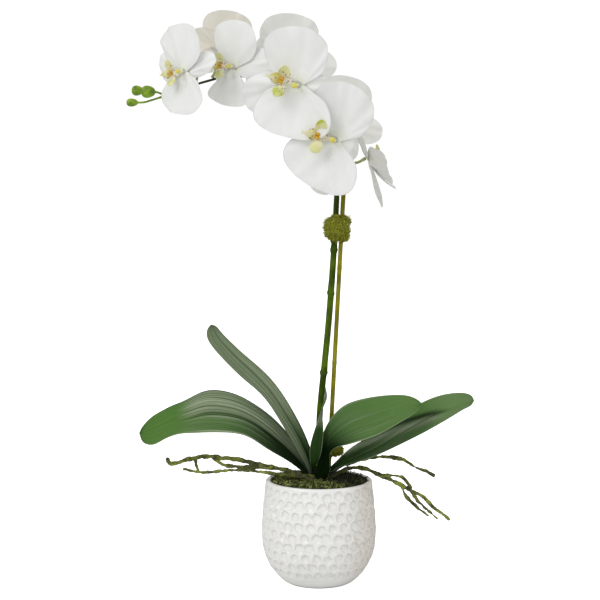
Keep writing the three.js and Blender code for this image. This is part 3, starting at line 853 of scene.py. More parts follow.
# Every lobe is (direction in degrees from X, share of the length, share of the width, cup), and
# cup says how far its end bends forwards. A fifth number makes the end broader than the foot.
# Two petals come first, then the upper sepal and the two side sepals.
FLOWERS = {
    "flower_1": (
        ((-14, 0.88, 1.03, 4), (174, 0.97, 1.02, 7)),
        ((99, 0.98, 0.74, -9), (-50, 1.02, 1, -2), (-110, 1.15, 1.1, -2)),
    ),
    "flower_2": (
        ((16, 1, 0.92, -3), (177, 0.5, 0.6, -3)),
        ((90, 0.9, 0.9, -3), (-57, 1, 1, -3), (-123, 0.75, 0.9, -3)),
    ),
    "flower_3": (
        ((-3, 0.84, 0.68, 4, 0.95), (175, 0.98, 0.9, 5)),
        ((104, 1.02, 1.02, -4), (-57, 0.7, 0.8, -3), (-123, 0.7, 0.8, -3)),
    ),
    "flower_4": (
        ((-5, 0.88, 1.03, 5), (184, 0.94, 0.84, 10)),
        ((97, 0.62, 0.52, -3), (-69, 1.18, 1.1, -4), (-123, 0.7, 0.8, -3)),
    ),
    "flower_5": (
        ((-1, 0.94, 0.93, -3), (177, 0.9, 0.95, -3)),
        ((88, 1.15, 1, -3), (-57, 0.85, 0.9, -3), (-123, 1, 1, -3)),
    ),
    "flower_6": (
        ((-2, 0.84, 0.98, 5), (188, 0.92, 0.77, 17)),
        ((90, 0.38, 0.6, -3), (10, 1.03, 0.9, -6), (-123, 0.8, 0.9, -3)),
    ),
    "flower_7": (
        ((42, 0.8, 0.8, 20), (124, 1.04, 0.5, 21)),
        ((90, 1.27, 0.7, -5), (-57, 0.9, 0.9, 6), (-100, 1, 0.9, 14)),
    ),
    "flower_8": (
        ((-10, 0.96, 0.85, -3), (177, 0.8, 0.9, -3)),
        ((82, 1.04, 0.9, -3), (-57, 0.9, 0.9, -3), (-123, 0.8, 0.9, -3)),
    ),
}


# %% One lobe of a flower
def lobe_relief(reach, spread, across, share, ring, seed, bend, fold, ruffle):
    """The height of a petal's surface above its flat outline, in the flower's millimetres."""
    away = math.hypot(reach, spread)
    out = smooth(4, 26, away)
    height = bend * (away / PETAL_LENGTH) ** 2
    fade = smooth(4, 14, away) * (1 - smooth(0.45, 0.95, share))
    height += fold * (spread / 9 * math.exp(-((spread / 6) ** 2)) - math.exp(-((spread / 4.5) ** 2))) * fade
    angle = math.atan2(spread, reach + 6)
    height += 6.0 * noise.noise(Vector((angle * 2.2, away / 60, seed))) * (away / PETAL_LENGTH) ** 1.3
    height += 1.7 * noise.noise(Vector((angle * 9, away / 90, seed + 4))) * out
    rim = (abs(across) * ring) ** 3 if share < 0.5 else max(abs(across) * ring, share) ** 5
    height += ruffle * noise.noise(Vector((angle * 4.3, 0.4, seed + 9))) * rim * out
    height -= 1.5 * rim * out
    return height


def lobe(bm, degrees, length, width, shoulder, seed, bend, fold, ruffle, drop=0.0):
    """Adds one petal or sepal in the flower's own frame."""
    angle = math.radians(degrees)
    forward = Vector((math.cos(angle), math.sin(angle)))
    side = Vector((math.sin(angle), -math.cos(angle)))

    def shape(across, share, through, ring):
        along = eased(share)
        claw = smooth(-0.02, 0.26, along) * 0.62 + 0.38
        reach = length * along - LOBE_START
        spread = across * ring ** 0.9 * width / 2 * (1 - shoulder + 2 * shoulder * along) * claw
        flat = forward * reach + side * spread
        height = lobe_relief(reach, spread, across, along, ring, seed, bend, fold, ruffle)
        height += through * math.sqrt(ring) * PETAL_THICKNESS / 2 - drop
        return Vector((flat.x, flat.y, height))

    made = grow(bm, shape, 48, 36)
    fan = bm.verts.layers.float_vector["fan"]
    for vert in made:
        reach, spread = (Vector(vert.co.xy).dot(axis) for axis in (forward, side))
        vert[fan] = Vector((math.atan2(spread, reach + 8), math.hypot(reach, spread), seed))
    return made


def hub(bm, radius, drop):
    """The small disc that joins the lobes in the middle."""
    def shape(across, share, through, ring):
        return Vector((
            across * ring * radius, -math.cos(share * math.pi) * radius,
            through * ring * PETAL_THICKNESS / 2 - drop,
        ))
    return grow(bm, shape, 16, 10)


# %% Build petals and sepals
def build_petals(matrix, seed, petals):
    bm = new_bmesh()
    hub(bm, 4, 0)
    for index, (degrees, length, width, cup, *shoulder) in enumerate(petals):
        fold = 4.2 if index == 0 else 1.2
        lobe(bm, degrees, PETAL_LENGTH * length + LOBE_START, PETAL_WIDTH * width,
             *(shoulder or [0.22]), seed * 3.7 + index * 1.3, cup, fold, 2.6)
    bmesh.ops.transform(bm, matrix=matrix, verts=bm.verts)
    return bm


def build_sepals(matrix, seed, sepals):
    bm = new_bmesh()
    hub(bm, 4.5, SEPAL_DROP)
    for index, (degrees, length, width, cup) in enumerate(sepals):
        lobe(bm, degrees, (SEPAL_LENGTH + LOBE_START) * length, SEPAL_WIDTH * width, 0.12,
             seed * 5.1 + index * 2.9, cup, 0.7, 1.4, SEPAL_DROP)
    bmesh.ops.transform(bm, matrix=matrix, verts=bm.verts)
    return bm


# %% [markdown]
# ### Petal skin
#
# The petals are white with a silky surface. Close to, fine veins fan out from the claw, so the
# attribute *fan* holds the angle and the distance from it. The claw is tinted with green, the
# back is a little creamier than the front, and a grey line of painted shade runs along the rim.
# Flower 2 has a copy whose back is a warmer cream, painted for the shade its back is in. Light
# passes a little way into the sheet, which the Principled shader's subsurface setting gives.

# %% Petal material
def petal_skin(name, back):
    finish = Finish(name)
    side = finish.attribute("place")[2]
    angle, away, seed = finish.attribute("fan")
    where = finish.object_place()
    cloud = finish.noise(where, 30, 3)
    bent = angle + (cloud - 0.5) * 0.12
    coarse = finish.range(abs((bent * 19 + seed).wave()), 0.16, 0.0)
    close = finish.range(abs((bent * 38 + seed).wave()), 0.3, 0.0) * finish.range(away, 22, 40)
    vein = coarse * 0.6 + close * 0.4
    color = finish.mix(cloud, paint("ecedea"), paint("f5f6f4"))
    color = finish.mix(finish.range(side, 0.1, -0.1) * 0.7, color, paint(back))
    color = finish.mix(vein * finish.range(away, 55, 8) * 0.07, color, paint("c9cfae"))
    color = finish.mix(finish.range(away, 14, 2) * 0.4, color, paint("edf0c8"))
    # Painted shade: a grey line along the rim of each sheet.
    color = finish.mix(finish.range(abs(side), 0.34, 0.1) * 0.4, color, paint("bdbdb4"))
    fine = finish.noise(where, 900, 3)
    relief = finish.bump(vein * 0.6 + fine * 0.4, 0.00016)
    return finish.shade(
        color, finish.range(cloud, 0.3, 0.7, 0.46, 0.6), Normal=relief,
        Subsurface_Weight=0.5, Subsurface_Radius=(0.9, 0.85, 0.8), Subsurface_Scale=0.0014,
    )


PETAL = petal_skin("petal_skin", "f0efe9")
# A copy of the petal skin for flower 2, whose warm cream back is painted shade.
SHADED_BACK_PETAL = petal_skin("shaded_back_petal_skin", "fff4e2")
for number, (flower_name, (petals, sepals)) in enumerate(FLOWERS.items(), 1):
    matrix = flower_frames[flower_name][0]
    skin = SHADED_BACK_PETAL if flower_name == "flower_2" else PETAL
    place_piece(flower_name + "_petal_pair", build_petals(matrix, number, petals), skin,
                "petal", flower_name + "_petals", subdivide=1)
    place_piece(flower_name + "_sepal_trio", build_sepals(matrix, number, sepals), skin,
                "petal", flower_name + "_sepals", subdivide=1)

# %% [markdown]
# ## Lip and column
#
# The lip is the insects' landing place. It has a spade-shaped middle lobe that ends in two
# curled threads, two side lobes that stand up like a collar, and a small forked callus between
# them. The column above it carries the anther under a smooth cap. They are only the size of a
# fingernail, but their yellow is the first thing the eye finds.

# %% Lip shapes
def ribbon(bm, middle, half_width, curl, thickness, around=24, steps=20):
    """A thin lobe along a line: middle(share), half_width(share) and curl(share) in millimetres."""
    def shape(across, share, through, ring):
        along = eased(share)
        centre = middle(along)
        ahead = (middle(min(along + 0.02, 1)) - middle(max(along - 0.02, 0))).normalized()
        right = curl(along)
        right = (right - ahead * right.dot(ahead)).normalized()
        up = right.cross(ahead)
        place = across * ring * half_width(along)
        cup = 0.055 * place * place
        return centre + right * place + up * (cup + through * math.sqrt(ring) * thickness / 2)
    return grow(bm, shape, around, steps)


def tint(bm, verts, kind):
    """Marks what part of the lip a set of points belongs to, for its material."""
    fan = bm.verts.layers.float_vector["fan"]
    for vert in verts:
        vert[fan] = Vector((kind, 0, 0))


def build_lip(matrix):
    bm = new_bmesh()
    across = Vector((1, 0, 0))
    plate = ribbon(
        bm,
        lambda s: Vector((0, -1.5 - 12.5 * s, 1.8 + 6.2 * s)),
        lambda s: 2.2 + 3.2 * smooth(0.1, 0.8, s), lambda s: across, 0.8,
    )
    tint(bm, plate, 0)
    middle_lobe = ribbon(
        bm,
        lambda s: Vector((0, -12.0 - 15.0 * s, 7.4 + 10.0 * s - 2.5 * s * s)),
        lambda s: 3.2 + 2.6 * smooth(0.0, 0.3, s) - 4.8 * smooth(0.35, 1, s),
        lambda s: across, 0.9,
    )
    tint(bm, middle_lobe, 1)
    for hand in (1, -1):
        wing = ribbon(
            bm,
            lambda s: Vector((hand * (2.0 + 13.0 * s), -11.0 - 2.0 * s, 6.6 + 9.5 * s - 2 * s * s)),
            lambda s: 3.4 + 2.4 * math.sin(math.pi * 0.85 * s),
            lambda s: Vector((0, 1, -0.4 * s)), 0.8,
        )
        tint(bm, wing, 2)
        tooth = grow(bm, lambda x, s, y, r: Vector((
            hand * 1.5 + x * r * 1.6, -13.2 + y * r * 2.2, 9.6 - math.cos(s * math.pi) * 1.9,
        )), 14, 10)
        tint(bm, tooth, 3)
        thread = Route(*[
            (hand * (0.6 + 1.3 * n - 0.3 * n * n), -26.4 - 1.0 * n + 0.4 * n * n, 14.7 + 0.6 * n)
            for n in range(4)
        ], unit=1)
        strand = tube(bm, thread, lambda s, a: 0.35 * (1 - 0.6 * s), 8, 14)
        tint(bm, strand, 1)
    bmesh.ops.transform(bm, matrix=matrix, verts=bm.verts)
    return bm


def build_column(matrix):
    bm = new_bmesh()

    def shape(across, share, through, ring):
        along = eased(share)
        centre = Vector((0, -0.2 - 0.9 * along + 3.2 * math.sin(math.pi * along) * 0.4, 1.3 + 9.4 * along))
        radius = 2.1 + 0.9 * smooth(0.45, 0.85, along) - 0.35 * math.exp(-(((along - 0.62) / 0.05) ** 2))
        return centre + Vector((across * radius * 0.95, through * radius, 0)) * ring ** 0.6
    grow(bm, shape, 28, 26)
    bmesh.ops.transform(bm, matrix=matrix, verts=bm.verts)
    return bm


# %% Lip and column materials
def lip_skin():
    finish = Finish("lip_skin")
    across, along, side = finish.attribute("place")
    kind = finish.attribute("fan")[0]
    where = finish.object_place()
    cloud = finish.noise(where, 160, 3)
    speck = finish.node("ShaderNodeTexVoronoi", {}, {"Vector": where, "Scale": 430, "Randomness": 1.0})
    dots = finish.range(speck, 0.36, 0.24) * finish.range(finish.noise(where, 160, 2), 0.4, 0.52)
    plate = finish.mix(cloud, paint("dcdcc4"), paint("eeeada"))
    pale = finish.range(finish.noise(where, 70, 2), 0.42, 0.56)
    middle = finish.mix(finish.range(along, 0.1, 0.9), paint("c9b43c"), paint("cfcf7c"))
    middle = finish.mix(pale * finish.range(along, 0.1, 0.7) * 0.7, middle, paint("eeead2"))
    wing = finish.mix(finish.range(along, 0.2, 0.7), paint("e2e0c0"), paint("bcc63e"))
    wing = finish.mix(pale * 0.7, wing, paint("e9e5b6"))
    callus = finish.mix(cloud, paint("c68c08"), paint("e0b01c"))
    color = finish.mix(finish.range(kind, 0.4, 0.6), plate, middle)
    color = finish.mix(finish.range(kind, 1.4, 1.6), color, wing)
    color = finish.mix(finish.range(abs(side), 0.4, 0.1) * 0.6, color, paint("f0f0dc"))
    near = finish.range(abs(kind - 0.5), 0.7, 0.6) * finish.range(along, 0.75, 0.6)
    near = near + finish.range(kind, 1.4, 1.6) * finish.range(along, 0.7, 0.5)
    color = finish.mix(dots * near * 0.95, color, paint("4c2018"))
    color = finish.mix(finish.range(kind, 2.4, 2.6), color, callus)
    relief = finish.bump(finish.noise(where, 800, 3) * 0.6 + speck * 0.4, 0.0002)
    return finish.shade(color, finish.range(cloud, 0.3, 0.7, 0.4, 0.55), Normal=relief,
                        Subsurface_Weight=0.15, Subsurface_Scale=0.0012)


def column_skin():
    finish = Finish("column_skin")
    along = finish.attribute("place")[1]
    where = finish.object_place()
    cloud = finish.noise(where, 180, 3)
    color = finish.mix(finish.range(along, 0.4, 0.72), paint("eceede"), paint("dcd158"))
    color = finish.mix(cloud * 0.4, color, paint("e6e08a"))
    relief = finish.bump(finish.noise(where, 700, 3), 0.00018)
    return finish.shade(color, finish.range(cloud, 0.3, 0.7, 0.34, 0.48), Normal=relief,
                        Subsurface_Weight=0.15, Subsurface_Scale=0.0012)


LIP = lip_skin()
COLUMN = column_skin()

# %% [markdown]
# ## Flower stalks
#
# Each stalk leaves the spike where its CAD solid comes closest to the spike's line, bends
# towards the back of its flower and meets it square on. It swells a little at the flower.

# %% Stalks
def stalk_line(name, matrix, size):
    """The stalk's middle line, from the spike to just behind the flower."""
    solid = points_of(name + "_stalk")
    shares = [n / 240 for n in range(241)]
    foot = min(shares, key=lambda s: min((spike_line.at(s) - point).length for point in solid))
    facing = matrix.to_3x3() @ Vector((0, 0, 1)) / size
    back = matrix.translation - facing * (2.9 * size)
    lean = back - facing * (14 * size)
    start = spike_line.at(foot)
    start += (lean - start).normalized() * 2.4 * MM
    return Route(start / MM, lean / MM, back / MM)


def build_stalk(name, matrix, size):
    bm = new_bmesh()
    line = stalk_line(name, matrix, size)
    tube(bm, line, lambda s, a: (1.35 + 0.5 * smooth(0.7, 1, s) + 0.5 * smooth(0.12, 0, s)) * MM, 14, 40)
    return bm


LIP_TURNS = {"flower_4": -16, "flower_6": 12, "flower_7": 112}
for number, (flower_name, (matrix, size)) in enumerate(flower_frames.items(), 1):
    turned = matrix @ Matrix.Rotation(math.radians(LIP_TURNS.get(flower_name, 0)), 4, "Z")
    place_piece(flower_name + "_lip_lobes", build_lip(turned), LIP, "lip",
                flower_name + "_lip", subdivide=1)
    place_piece(flower_name + "_column_cap", build_column(matrix), COLUMN, "column",
                flower_name + "_column", subdivide=1)
    place_piece(flower_name + "_stalk_stem", build_stalk(flower_name, matrix, size), STALK,
                "green_stem", flower_name + "_stalk")

# %% [markdown]
# ## Buds
#
# A bud is a closed flower: three sepals folded over the rest, so three shallow seams run from
# its foot to its point.

# %% Buds
BUDS = {
    "bud_1": dict(
        middle=(-184.2, -4, 480.4), reach=(5.7, 4, 4),
        path=((-154, 1, 486.5), (-166, -1, 482.6), (-173, -3, 480.6), (-181, -4, 480.4)),
    ),
    "bud_2": dict(
        middle=(-180, 7, 492.5), reach=(5.8, 5, 5),
        path=((-152, 2, 487.5), (-161, 5, 491), (-169, 7, 493), (-177, 7, 493)),
    ),
    "bud_3": dict(
        middle=(-168, -7, 490.8), reach=(7, 5.4, 6),
        path=((-153, 0, 487.5), (-158, -4, 490), (-164, -6, 490.6)),
    ),
}


def build_bud(middle, reach, path):
    bm = new_bmesh()

    def shape(across, share, through, ring):
        along = eased(share)
        angle = math.atan2(through, across)
        seam = 1 - 0.1 * math.exp(-((abs((angle * 3 / math.tau) % 1 - 0.5) / 0.09) ** 2))
        plump = ring ** 0.8 * (1 + 0.12 * math.cos(math.pi * along)) * seam
        return Vector(middle) * MM + Vector((
            reach[0] * (2 * along - 1), across * reach[1] * plump, through * reach[2] * plump,
        )) * MM
    egg = grow(bm, shape, 36, 24)
    tint(bm, egg, 1)
    tube(bm, Route(*path), lambda s, a: (1.05 + 0.35 * smooth(0.2, 0, s)) * MM, 12, 24)
    return bm


def bud_skin():
    finish = Finish("bud_skin")
    where = finish.object_place()
    cloud = finish.noise(where, 130, 4, 0.6)
    fine = finish.noise(where, 620, 4, 0.6)
    color = finish.mix(finish.range(cloud, 0.35, 0.65), paint("55780c"), paint("90b21e"))
    color = finish.mix(finish.range(fine, 0.5, 0.75) * 0.4, color, paint("4a6a08"))
    relief = finish.bump(fine * 0.6 + cloud * 0.4, 0.0004)
    return finish.shade(color, finish.range(fine, 0.3, 0.7, 0.4, 0.55), Normal=relief)


BUD = bud_skin()
for bud_name, bud in BUDS.items():
    place_piece(bud_name + "_closed", build_bud(**bud), BUD, "bud", bud_name, subdivide=1)

# %% [markdown]
# ## Air roots and crown
#
# Air roots wander, fork and grow into each other, and they are knobbly with dead bark. Each
# strand is a tube of uneven thickness along its own route. A voxel Remesh then wraps a bundle of
# tubes in one even skin, which rounds the forks, and two sizes of noise push it in and out. The
# crown gets the same treatment over a copy of its CAD mesh.

# %% Root routes
# Each strand is (radius at the foot, radius at the tip, its points) in millimetres.
ROOTS = {
    "roots_left": (
        (2.3, 2.1, ((-3, -3, 106), (-14, -8, 109), (-41, -12, 117), (-70, -15, 124),
                    (-97, -18, 129), (-115, -20, 131), (-130, -21, 128), (-143, -22, 123.5),
                    (-149, -22, 125), (-151, -22, 130))),
        (1.9, 1.4, ((-3, -4, 104.5), (-19, -11, 108), (-36, -14, 111), (-55, -17, 114),
                    (-74, -21, 117), (-97, -25, 117), (-114, -28, 116), (-135, -30, 120))),
        (2.2, 1.6, ((-40, -13, 117), (-55, -15, 119), (-72, -17, 119.5), (-94, -20, 122),
                    (-107, -19, 129))),
        (1.6, 1.6, ((-123, -21, 129), (-121.5, -25, 122), (-119, -28, 117))),
        (1.6, 1.4, ((-14, -9, 108), (-9, -17, 107), (1, -25, 105.5), (10, -31, 104.8))),
    ),
    "roots_right": (
        (2.6, 1.5, ((-1, -2, 105), (10, -3, 106), (21, -1, 111), (32, 1, 115), (44, -2, 115.5),
                    (59, -6, 110), (74, -9, 104), (91, -11, 95), (103, -12, 89), (114, -13, 78),
                    (125, -14, 70), (131, -14, 65))),
        (1.7, 1.5, ((60, -6, 108), (75, -8, 109), (84, -9, 107), (93, -11, 96))),
        (1.8, 1.3, ((83, -10, 99), (86, -12, 91), (96, -14, 80), (110, -16, 69))),
        (1.7, 1.3, ((93, -12, 94), (99, -12, 84), (109, -13, 75), (119, -14, 66))),
    ),
    "root_back_right": (
        (2.4, 1.4, ((-1, 3, 108), (3, 14, 108), (14, 17, 112), (32, 16, 118), (58, 13, 124),
                    (84, 11, 122), (98, 10, 114), (107, 9, 111), (118, 8, 105))),
    ),
}


# %% Even skins
def remeshed(bm, voxel):
    """A new bmesh: an even skin over everything in the one given."""
    rough = bpy.data.meshes.new("rough")
    bm.to_mesh(rough)
    bm.free()
    helper = bpy.data.objects.new("helper", rough)
    bpy.context.scene.collection.objects.link(helper)
    skin = helper.modifiers.new("skin", "REMESH")
    skin.mode, skin.voxel_size = "VOXEL", voxel
    even = bpy.data.meshes.new_from_object(
        helper.evaluated_get(bpy.context.evaluated_depsgraph_get())
    )
    bm = new_bmesh()
    bm.from_mesh(even)
    bpy.data.objects.remove(helper)
    for mesh in (rough, even):
        bpy.data.meshes.remove(mesh)
    for _ in range(2):
        bmesh.ops.smooth_vert(
            bm, verts=bm.verts, factor=0.5, use_axis_x=True, use_axis_y=True, use_axis_z=True,
        )
    return bm


def roughen(bm, *layers):
    """Moves each point along its normal by layers of (size, height) noise, in millimetres."""
    bm.normal_update()
    place = bm.verts.layers.float_vector["place"]
    moves = []
    for vert in bm.verts:
        height = 0.0
        for size, amount in layers:
            height += amount * noise.noise(vert.co / (size * MM))
        moves.append((vert, height))
    for vert, height in moves:
        vert[place] = Vector((height, 0, 0))
        vert.co += vert.normal * height * MM


def build_root(strands, seed):
    bm = new_bmesh()
    for number, (foot, tip, points) in enumerate(strands):
        line = Route(*points)
        length = line.reach[-1] / MM

        def radius(share, angle):
            knob = noise.noise(Vector((share * length / 9, math.cos(angle) * 0.4, seed + number)))
            return blend(foot, tip, share) * (1 + 0.55 * knob) * MM

        tube(bm, line, radius, 12, round(length / 1.2))
    bm = remeshed(bm, 0.45 * MM)
    roughen(bm, (4.5, 0.8), (1.9, 0.5))
    return bm


def root_skin():
    finish = Finish("root_skin")
    height = finish.attribute("place")[0]
    where = finish.object_place()
    cloud = finish.noise(where, 70, 5, 0.65)
    fine = finish.noise(where, 480, 5, 0.7)
    level = finish.node("ShaderNodeVectorMath", {"operation": "MULTIPLY"}, {0: where, 1: (1, 1, 0)})
    out = finish.node("ShaderNodeVectorMath", {"operation": "LENGTH"}, {0: level}, out="Value")
    color = finish.mix(finish.range(cloud, 0.38, 0.62), paint("42491a"), paint("8a9338"))
    # Painted shade: the roots darken towards the plant's middle, under the leaves.
    color = finish.mix(finish.range(out, 0.055, 0.02) * 0.6, color, paint("161c0a"))
    color = finish.mix(finish.range(height, 0.0, -0.6) * 0.85, color, paint("241c10"))
    color = finish.mix(finish.range(fine, 0.56, 0.72) * 0.6, color, paint("2e2312"))
    relief = finish.bump(fine * 0.7 + cloud * 0.3, 0.0009)
    return finish.shade(color, finish.range(fine, 0.3, 0.7, 0.6, 0.82), Normal=relief)


ROOT = root_skin()
for seed, (root_name, strands) in enumerate(ROOTS.items()):
    place_piece(root_name + "_bark", build_root(strands, seed * 9.3), ROOT, "air_root", root_name)

# Painted shade: the crown is coloured nearly black for the deep shade among the leaf bases.
SHADED_CROWN = fibrous("crown_shaded_skin", "0a1005", "18220b", "050803", 300, 0.7)
crown_mesh = bmesh.new()
crown_mesh.from_mesh(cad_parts["crown"].data)
bmesh.ops.remove_doubles(crown_mesh, verts=crown_mesh.verts, dist=1e-5)
crown_mesh = remeshed(crown_mesh, 0.8 * MM)
roughen(crown_mesh, (5, 0.8), (2, 0.4))
place_piece("crown_stem", crown_mesh, SHADED_CROWN, "green_stem", "crown")

# %% [markdown]
# ## Moss
#
# Moss is a mat of short curly fibres, and from a distance it reads as specks of light on deep
# shade. A mat with noise alone looks like clay, so thousands of real fibres are scattered on
# an uneven base. One fibre is a triangle extruded four times, turning as it goes, so it costs
# only a few dozen faces. A handful of them, each with its own bend and shade, is copied all
# over the base.

# %% One fibre, and a scatter of them
def fibre_mesh(dice, length, thickness):
    """A curled fibre one length long that starts at the origin and rises along Z."""
    bm = new_bmesh()
    shade = dice.random()
    bmesh.ops.create_circle(bm, cap_ends=True, radius=thickness, segments=3)
    tip = list(bm.faces)
    turn = Matrix.Rotation(dice.uniform(0.25, 0.6), 4, (dice.uniform(-1, 1), dice.uniform(-1, 1), 0.2))
    for step in range(4):
        lifted = bmesh.ops.extrude_face_region(bm, geom=tip)["geom"]
        tip = [item for item in lifted if isinstance(item, bmesh.types.BMFace)]
        ends = [item for item in lifted if isinstance(item, bmesh.types.BMVert)]
        middle = middle_of([vert.co for vert in ends])
        step_up = (turn.to_3x3() @ tip[0].normal if tip[0].normal.length else Vector((0, 0, 1)))
        bmesh.ops.rotate(bm, cent=middle, matrix=turn.to_3x3(), verts=ends)
        bmesh.ops.scale(bm, vec=(0.8, 0.8, 0.8), space=Matrix.Translation(-middle), verts=ends)
        bmesh.ops.translate(bm, vec=step_up.normalized() * length / 4, verts=ends)
        bm.normal_update()
    place = bm.verts.layers.float_vector["place"]
    for vert in bm.verts:
        vert[place] = Vector((shade, min(vert.co.length / length, 1), 1))
    bmesh.ops.recalc_face_normals(bm, faces=bm.faces)
    mesh = bpy.data.meshes.new("fibre")
    bm.to_mesh(mesh)
    bm.free()
    return mesh


def scatter(bm, dice, fibres, spots, tilt, sizes):
    """Copies fibres to (point, direction) spots, each leaning and turned by chance."""
    for point, outward in spots:
        lean = Matrix.Rotation(dice.gauss(0, tilt), 4, outward.orthogonal())
        spin = Matrix.Rotation(dice.uniform(0, math.tau), 4, outward)
        aim = outward.to_track_quat("Z", "Y").to_matrix().to_4x4()
        copy = dice.choice(fibres).copy()
        copy.transform(
            Matrix.Translation(point) @ spin @ lean @ aim @ Matrix.Scale(dice.uniform(*sizes), 4)
        )
        bm.from_mesh(copy)
        bpy.data.meshes.remove(copy)


# %% The moss bed
def build_moss_bed():
    dice = random.Random(11)
    bm = new_bmesh()
    low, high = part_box("moss_bed")
    edge = (high.x - low.x) / 2 + 0.3 * MM

    def top_at(x, y):
        lump = noise.noise(Vector((x, y, 0)) / 0.009) * 1.6 + noise.noise(Vector((x, y, 3)) / 0.003) * 0.9
        return high.z + 1.0 * MM + lump * MM

    def shape(across, share, through, ring):
        reach = edge * (1 - (1 - ring) ** 2) if ring else 0.0
        x, y = across * reach, through * reach
        return Vector((x, y, low.z if share < 0.5 else top_at(x, y)))

    base = grow(bm, shape, 96, 60)
    place = bm.verts.layers.float_vector["place"]
    for vert in base:
        vert[place] = Vector((0.05, 0, 0))
    fibres = [fibre_mesh(dice, 6.5 * MM, 0.55 * MM) for _ in range(9)]
    spots = []
    for _ in range(3200):
        reach, turn = (edge - 1.5 * MM) * math.sqrt(dice.random()), dice.uniform(0, math.tau)
        x, y = reach * math.cos(turn), reach * math.sin(turn)
        spots.append((Vector((x, y, top_at(x, y) - 0.6 * MM)), Vector((0, 0, 1))))
    scatter(bm, dice, fibres, spots, 1.0, (0.5, 1.1))
    return bm


# %% The moss tie and the clump on the cane
def build_moss_ball(node, centres, seed, count, length):
    """Lumpy balls at (point, radius), covered in short fibres."""
    dice = random.Random(seed)
    bm = new_bmesh()
    spots = []
    for centre, radius, share_of in centres:
        middle = Vector(centre) * MM

        def shape(across, share, through, ring):
            away = Vector((across * ring, through * ring, -math.cos(share * math.pi)))
            lump = 0.86 + 0.16 * noise.noise(away * 2.6 + middle * 90)
            return middle + away * Vector(radius) * MM * lump
        base = grow(bm, shape, 40, 28)
        place = bm.verts.layers.float_vector["place"]
        for vert in base:
            vert[place] = Vector((0.1, 0, 0))
        for _ in range(round(count * share_of)):
            away = Vector((dice.gauss(0, 1), dice.gauss(0, 1), dice.gauss(0, 1))).normalized()
            lump = 0.86 + 0.16 * noise.noise(away * 2.6 + middle * 90)
            spots.append((middle + away * (Vector(radius) * lump - Vector((0.8, 0.8, 0.8))) * MM, away))
    fibres = [fibre_mesh(dice, length * MM, 0.5 * MM) for _ in range(9)]
    scatter(bm, dice, fibres, spots, 0.75, (0.6, 1.05))
    return bm


# %% Moss materials and pieces
UNSHADED = 9.0  # metres, further back than any moss reaches


def moss_skin(name, deep, dull, bright, streak, gap_shade, shade_from=UNSHADED):
    finish = Finish(name)
    shade, along, fibre = finish.attribute("place")
    where = finish.object_place()
    cloud = finish.noise(where, 120, 4, 0.6)
    color = finish.mix(finish.range(shade + (cloud - 0.5) * 0.8, 0.25, 0.95), paint(dull), paint(bright))
    # Painted shade: the base and each fibre's foot go to the deep colour, the shade inside the mat.
    color = finish.mix(finish.range(along, 0.5, 0.0) * 0.75, color, paint(deep))
    color = finish.mix(finish.range(cloud, 0.6, 0.72) * 0.5, color, paint(streak))
    # Painted shade in the gaps between clumps.
    clumps = finish.noise(where, 240, 2)
    color = finish.mix(finish.range(clumps, 0.53, 0.44) * gap_shade, color, paint(deep))
    back = finish.node("ShaderNodeVectorMath", {"operation": "DOT_PRODUCT"}, {
        0: where, 1: (0.7, 0.7, 0),
    }, out="Value")
    back = finish.range(back + (cloud - 0.5) * 0.05, shade_from, shade_from + 0.02)
    color = finish.mix(back * 0.8, color, paint(deep))
    relief = finish.bump(finish.noise(where, 900, 4, 0.7), 0.0006)
    return finish.shade(color, finish.range(cloud, 0.3, 0.7, 0.75, 0.95), Normal=relief)


DARK_MOSS = moss_skin("dark_moss", "080d03", "6a7d2e", "eef090", "85743c", 0.95, -0.012)
LIME_MOSS = moss_skin("lime_moss", "5a600c", "b0b428", "e4e448", "7d7822", 0.3)
place_piece("moss_bed_fibres", build_moss_bed(), DARK_MOSS, "dark_moss", "moss_bed")

tie_low, tie_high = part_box("moss_tie")
tie_middle = (tie_low + tie_high) / 2 / MM
place_piece(
    "moss_tie_ball",
    build_moss_ball("moss_tie", (
        ((17.3, -1, 356.5), (14.4, 14.4, 14.4), 0.78), ((26, 1, 363.5), (5.6, 5.6, 5.6), 0.11),
        ((25, -2, 348.5), (5.6, 5.6, 5.6), 0.11),
    ), 21, 2600, 3.6),
    LIME_MOSS, "lime_moss", "moss_tie",
)
clump_low, clump_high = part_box("stake_moss")
clump = (clump_low + clump_high) / 2 / MM
place_piece(
    "stake_moss_clump",
    build_moss_ball("stake_moss", ((clump + Vector((0.8, 0, 0)), (10.8, 6.5, 6.8), 1.0),), 22, 420, 2.6),
    LIME_MOSS, "lime_moss", "stake_moss",
)

# %% [markdown]
# ## The hidden pieces
#
# The bark that fills the pot and the raffia band inside the moss keep their CAD shapes, but
# they still get real finishes, because somebody may take the plant apart to look.

# %% Bark and raffia
def bark_chips():
    finish = Finish("bark_chips")
    where = finish.object_place()
    chips = finish.node("ShaderNodeTexVoronoi", {}, {"Vector": where, "Scale": 95, "Randomness": 0.9})
    grain = finish.noise(where, 260, 5, 0.7)
    color = finish.mix(finish.range(grain, 0.3, 0.7), paint("35271a"), paint("6b5238"))
    color = finish.mix(finish.range(chips, 0.35, 0.75) * 0.8, color, paint("1c140d"))
    relief = finish.bump(grain * 0.4 + (1 - chips) * 0.6, 0.003)
    return finish.shade(color, finish.range(grain, 0.3, 0.7, 0.8, 0.95), Normal=relief)


RAFFIA = fibrous("raffia", "6b5433", "94784c", "4a3820", 800, 0.7)
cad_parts["growing_medium"].data.materials.clear()
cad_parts["growing_medium"].data.materials.append(bark_chips())
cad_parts["stem_tie"].data.materials.clear()
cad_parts["stem_tie"].data.materials.append(RAFFIA)

# %% [markdown]
# ## Floor, light and camera
#
# The plant stands on a plain pale floor under soft studio light. A large lamp to the upper left
# models the petals, a weaker one on the right fills their shadows, and the sky lights the rest.

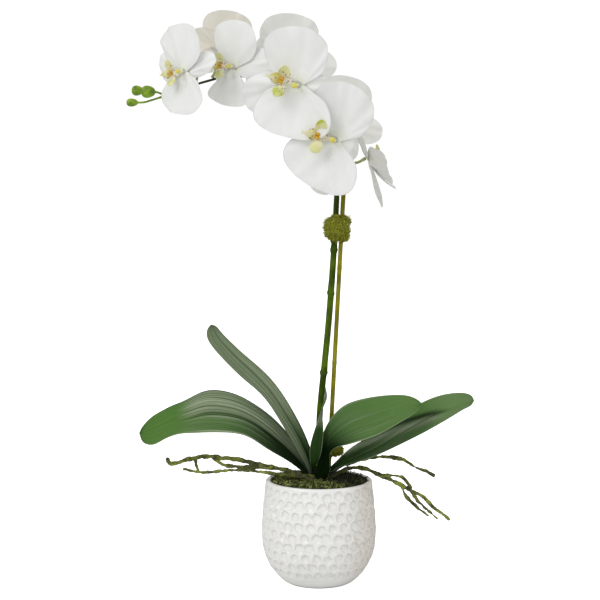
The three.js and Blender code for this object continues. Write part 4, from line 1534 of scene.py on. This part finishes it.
# %% Floor
def build_floor():
    bm = bmesh.new()
    bmesh.ops.create_grid(bm, x_segments=1, y_segments=1, size=8)
    mesh = bpy.data.meshes.new("floor")
    bm.to_mesh(mesh)
    bm.free()
    finish = Finish("pale_floor")
    color = finish.mix(finish.noise(finish.object_place(), 2, 2), paint("e4e4e3"), paint("eaeae9"))
    seen = finish.node("ShaderNodeLightPath", {}, {}, out="Is Camera Ray")
    glow = finish.mix(seen, paint("000000"), paint("ffffff"))
    mesh.materials.append(finish.shade(color, 0.9, Emission_Color=glow, Emission_Strength=0.9))
    floor = bpy.data.objects.new("floor", mesh)
    bpy.context.scene.collection.objects.link(floor)


build_floor()


# %% Lamps, sky and camera
def lamp(name, place, aim, size, watts):
    data = bpy.data.lights.new(name, "AREA")
    data.shape, data.size, data.energy = "SQUARE", size, watts
    light = bpy.data.objects.new(name, data)
    light.location = place
    light.rotation_euler = (Vector(aim) - Vector(place)).to_track_quat("-Z", "Y").to_euler()
    bpy.context.scene.collection.objects.link(light)


lamp("key", (-3.0, -3.0, 3.5), (0, 0, 0.3), 3.0, 92)
lamp("fill", (3.2, -2.4, 1.6), (0, 0, 0.3), 2.0, 20)

sky = bpy.data.worlds.new("sky")
sky.use_nodes = True
links = sky.node_tree.links
seen = sky.node_tree.nodes.new("ShaderNodeLightPath").outputs["Is Camera Ray"]
strength = sky.node_tree.nodes.new("ShaderNodeMapRange")
strength.inputs["To Min"].default_value, strength.inputs["To Max"].default_value = 0.62, 1.05
background = sky.node_tree.nodes["Background"]
background.inputs["Color"].default_value = (1, 1, 1, 1)
links.new(seen, strength.inputs["Value"])
links.new(strength.outputs["Result"], background.inputs["Strength"])
bpy.context.scene.world = sky
bpy.context.scene.view_settings.view_transform = "Standard"

eye = bpy.data.cameras.new("camera")
eye.lens = 96
eye.sensor_width = 36
camera = bpy.data.objects.new("camera", eye)
camera.location = (-0.019, -1.590, 0.424)
camera.rotation_euler = (math.radians(85), 0, 0)
bpy.context.scene.collection.objects.link(camera)
bpy.context.scene.camera = camera
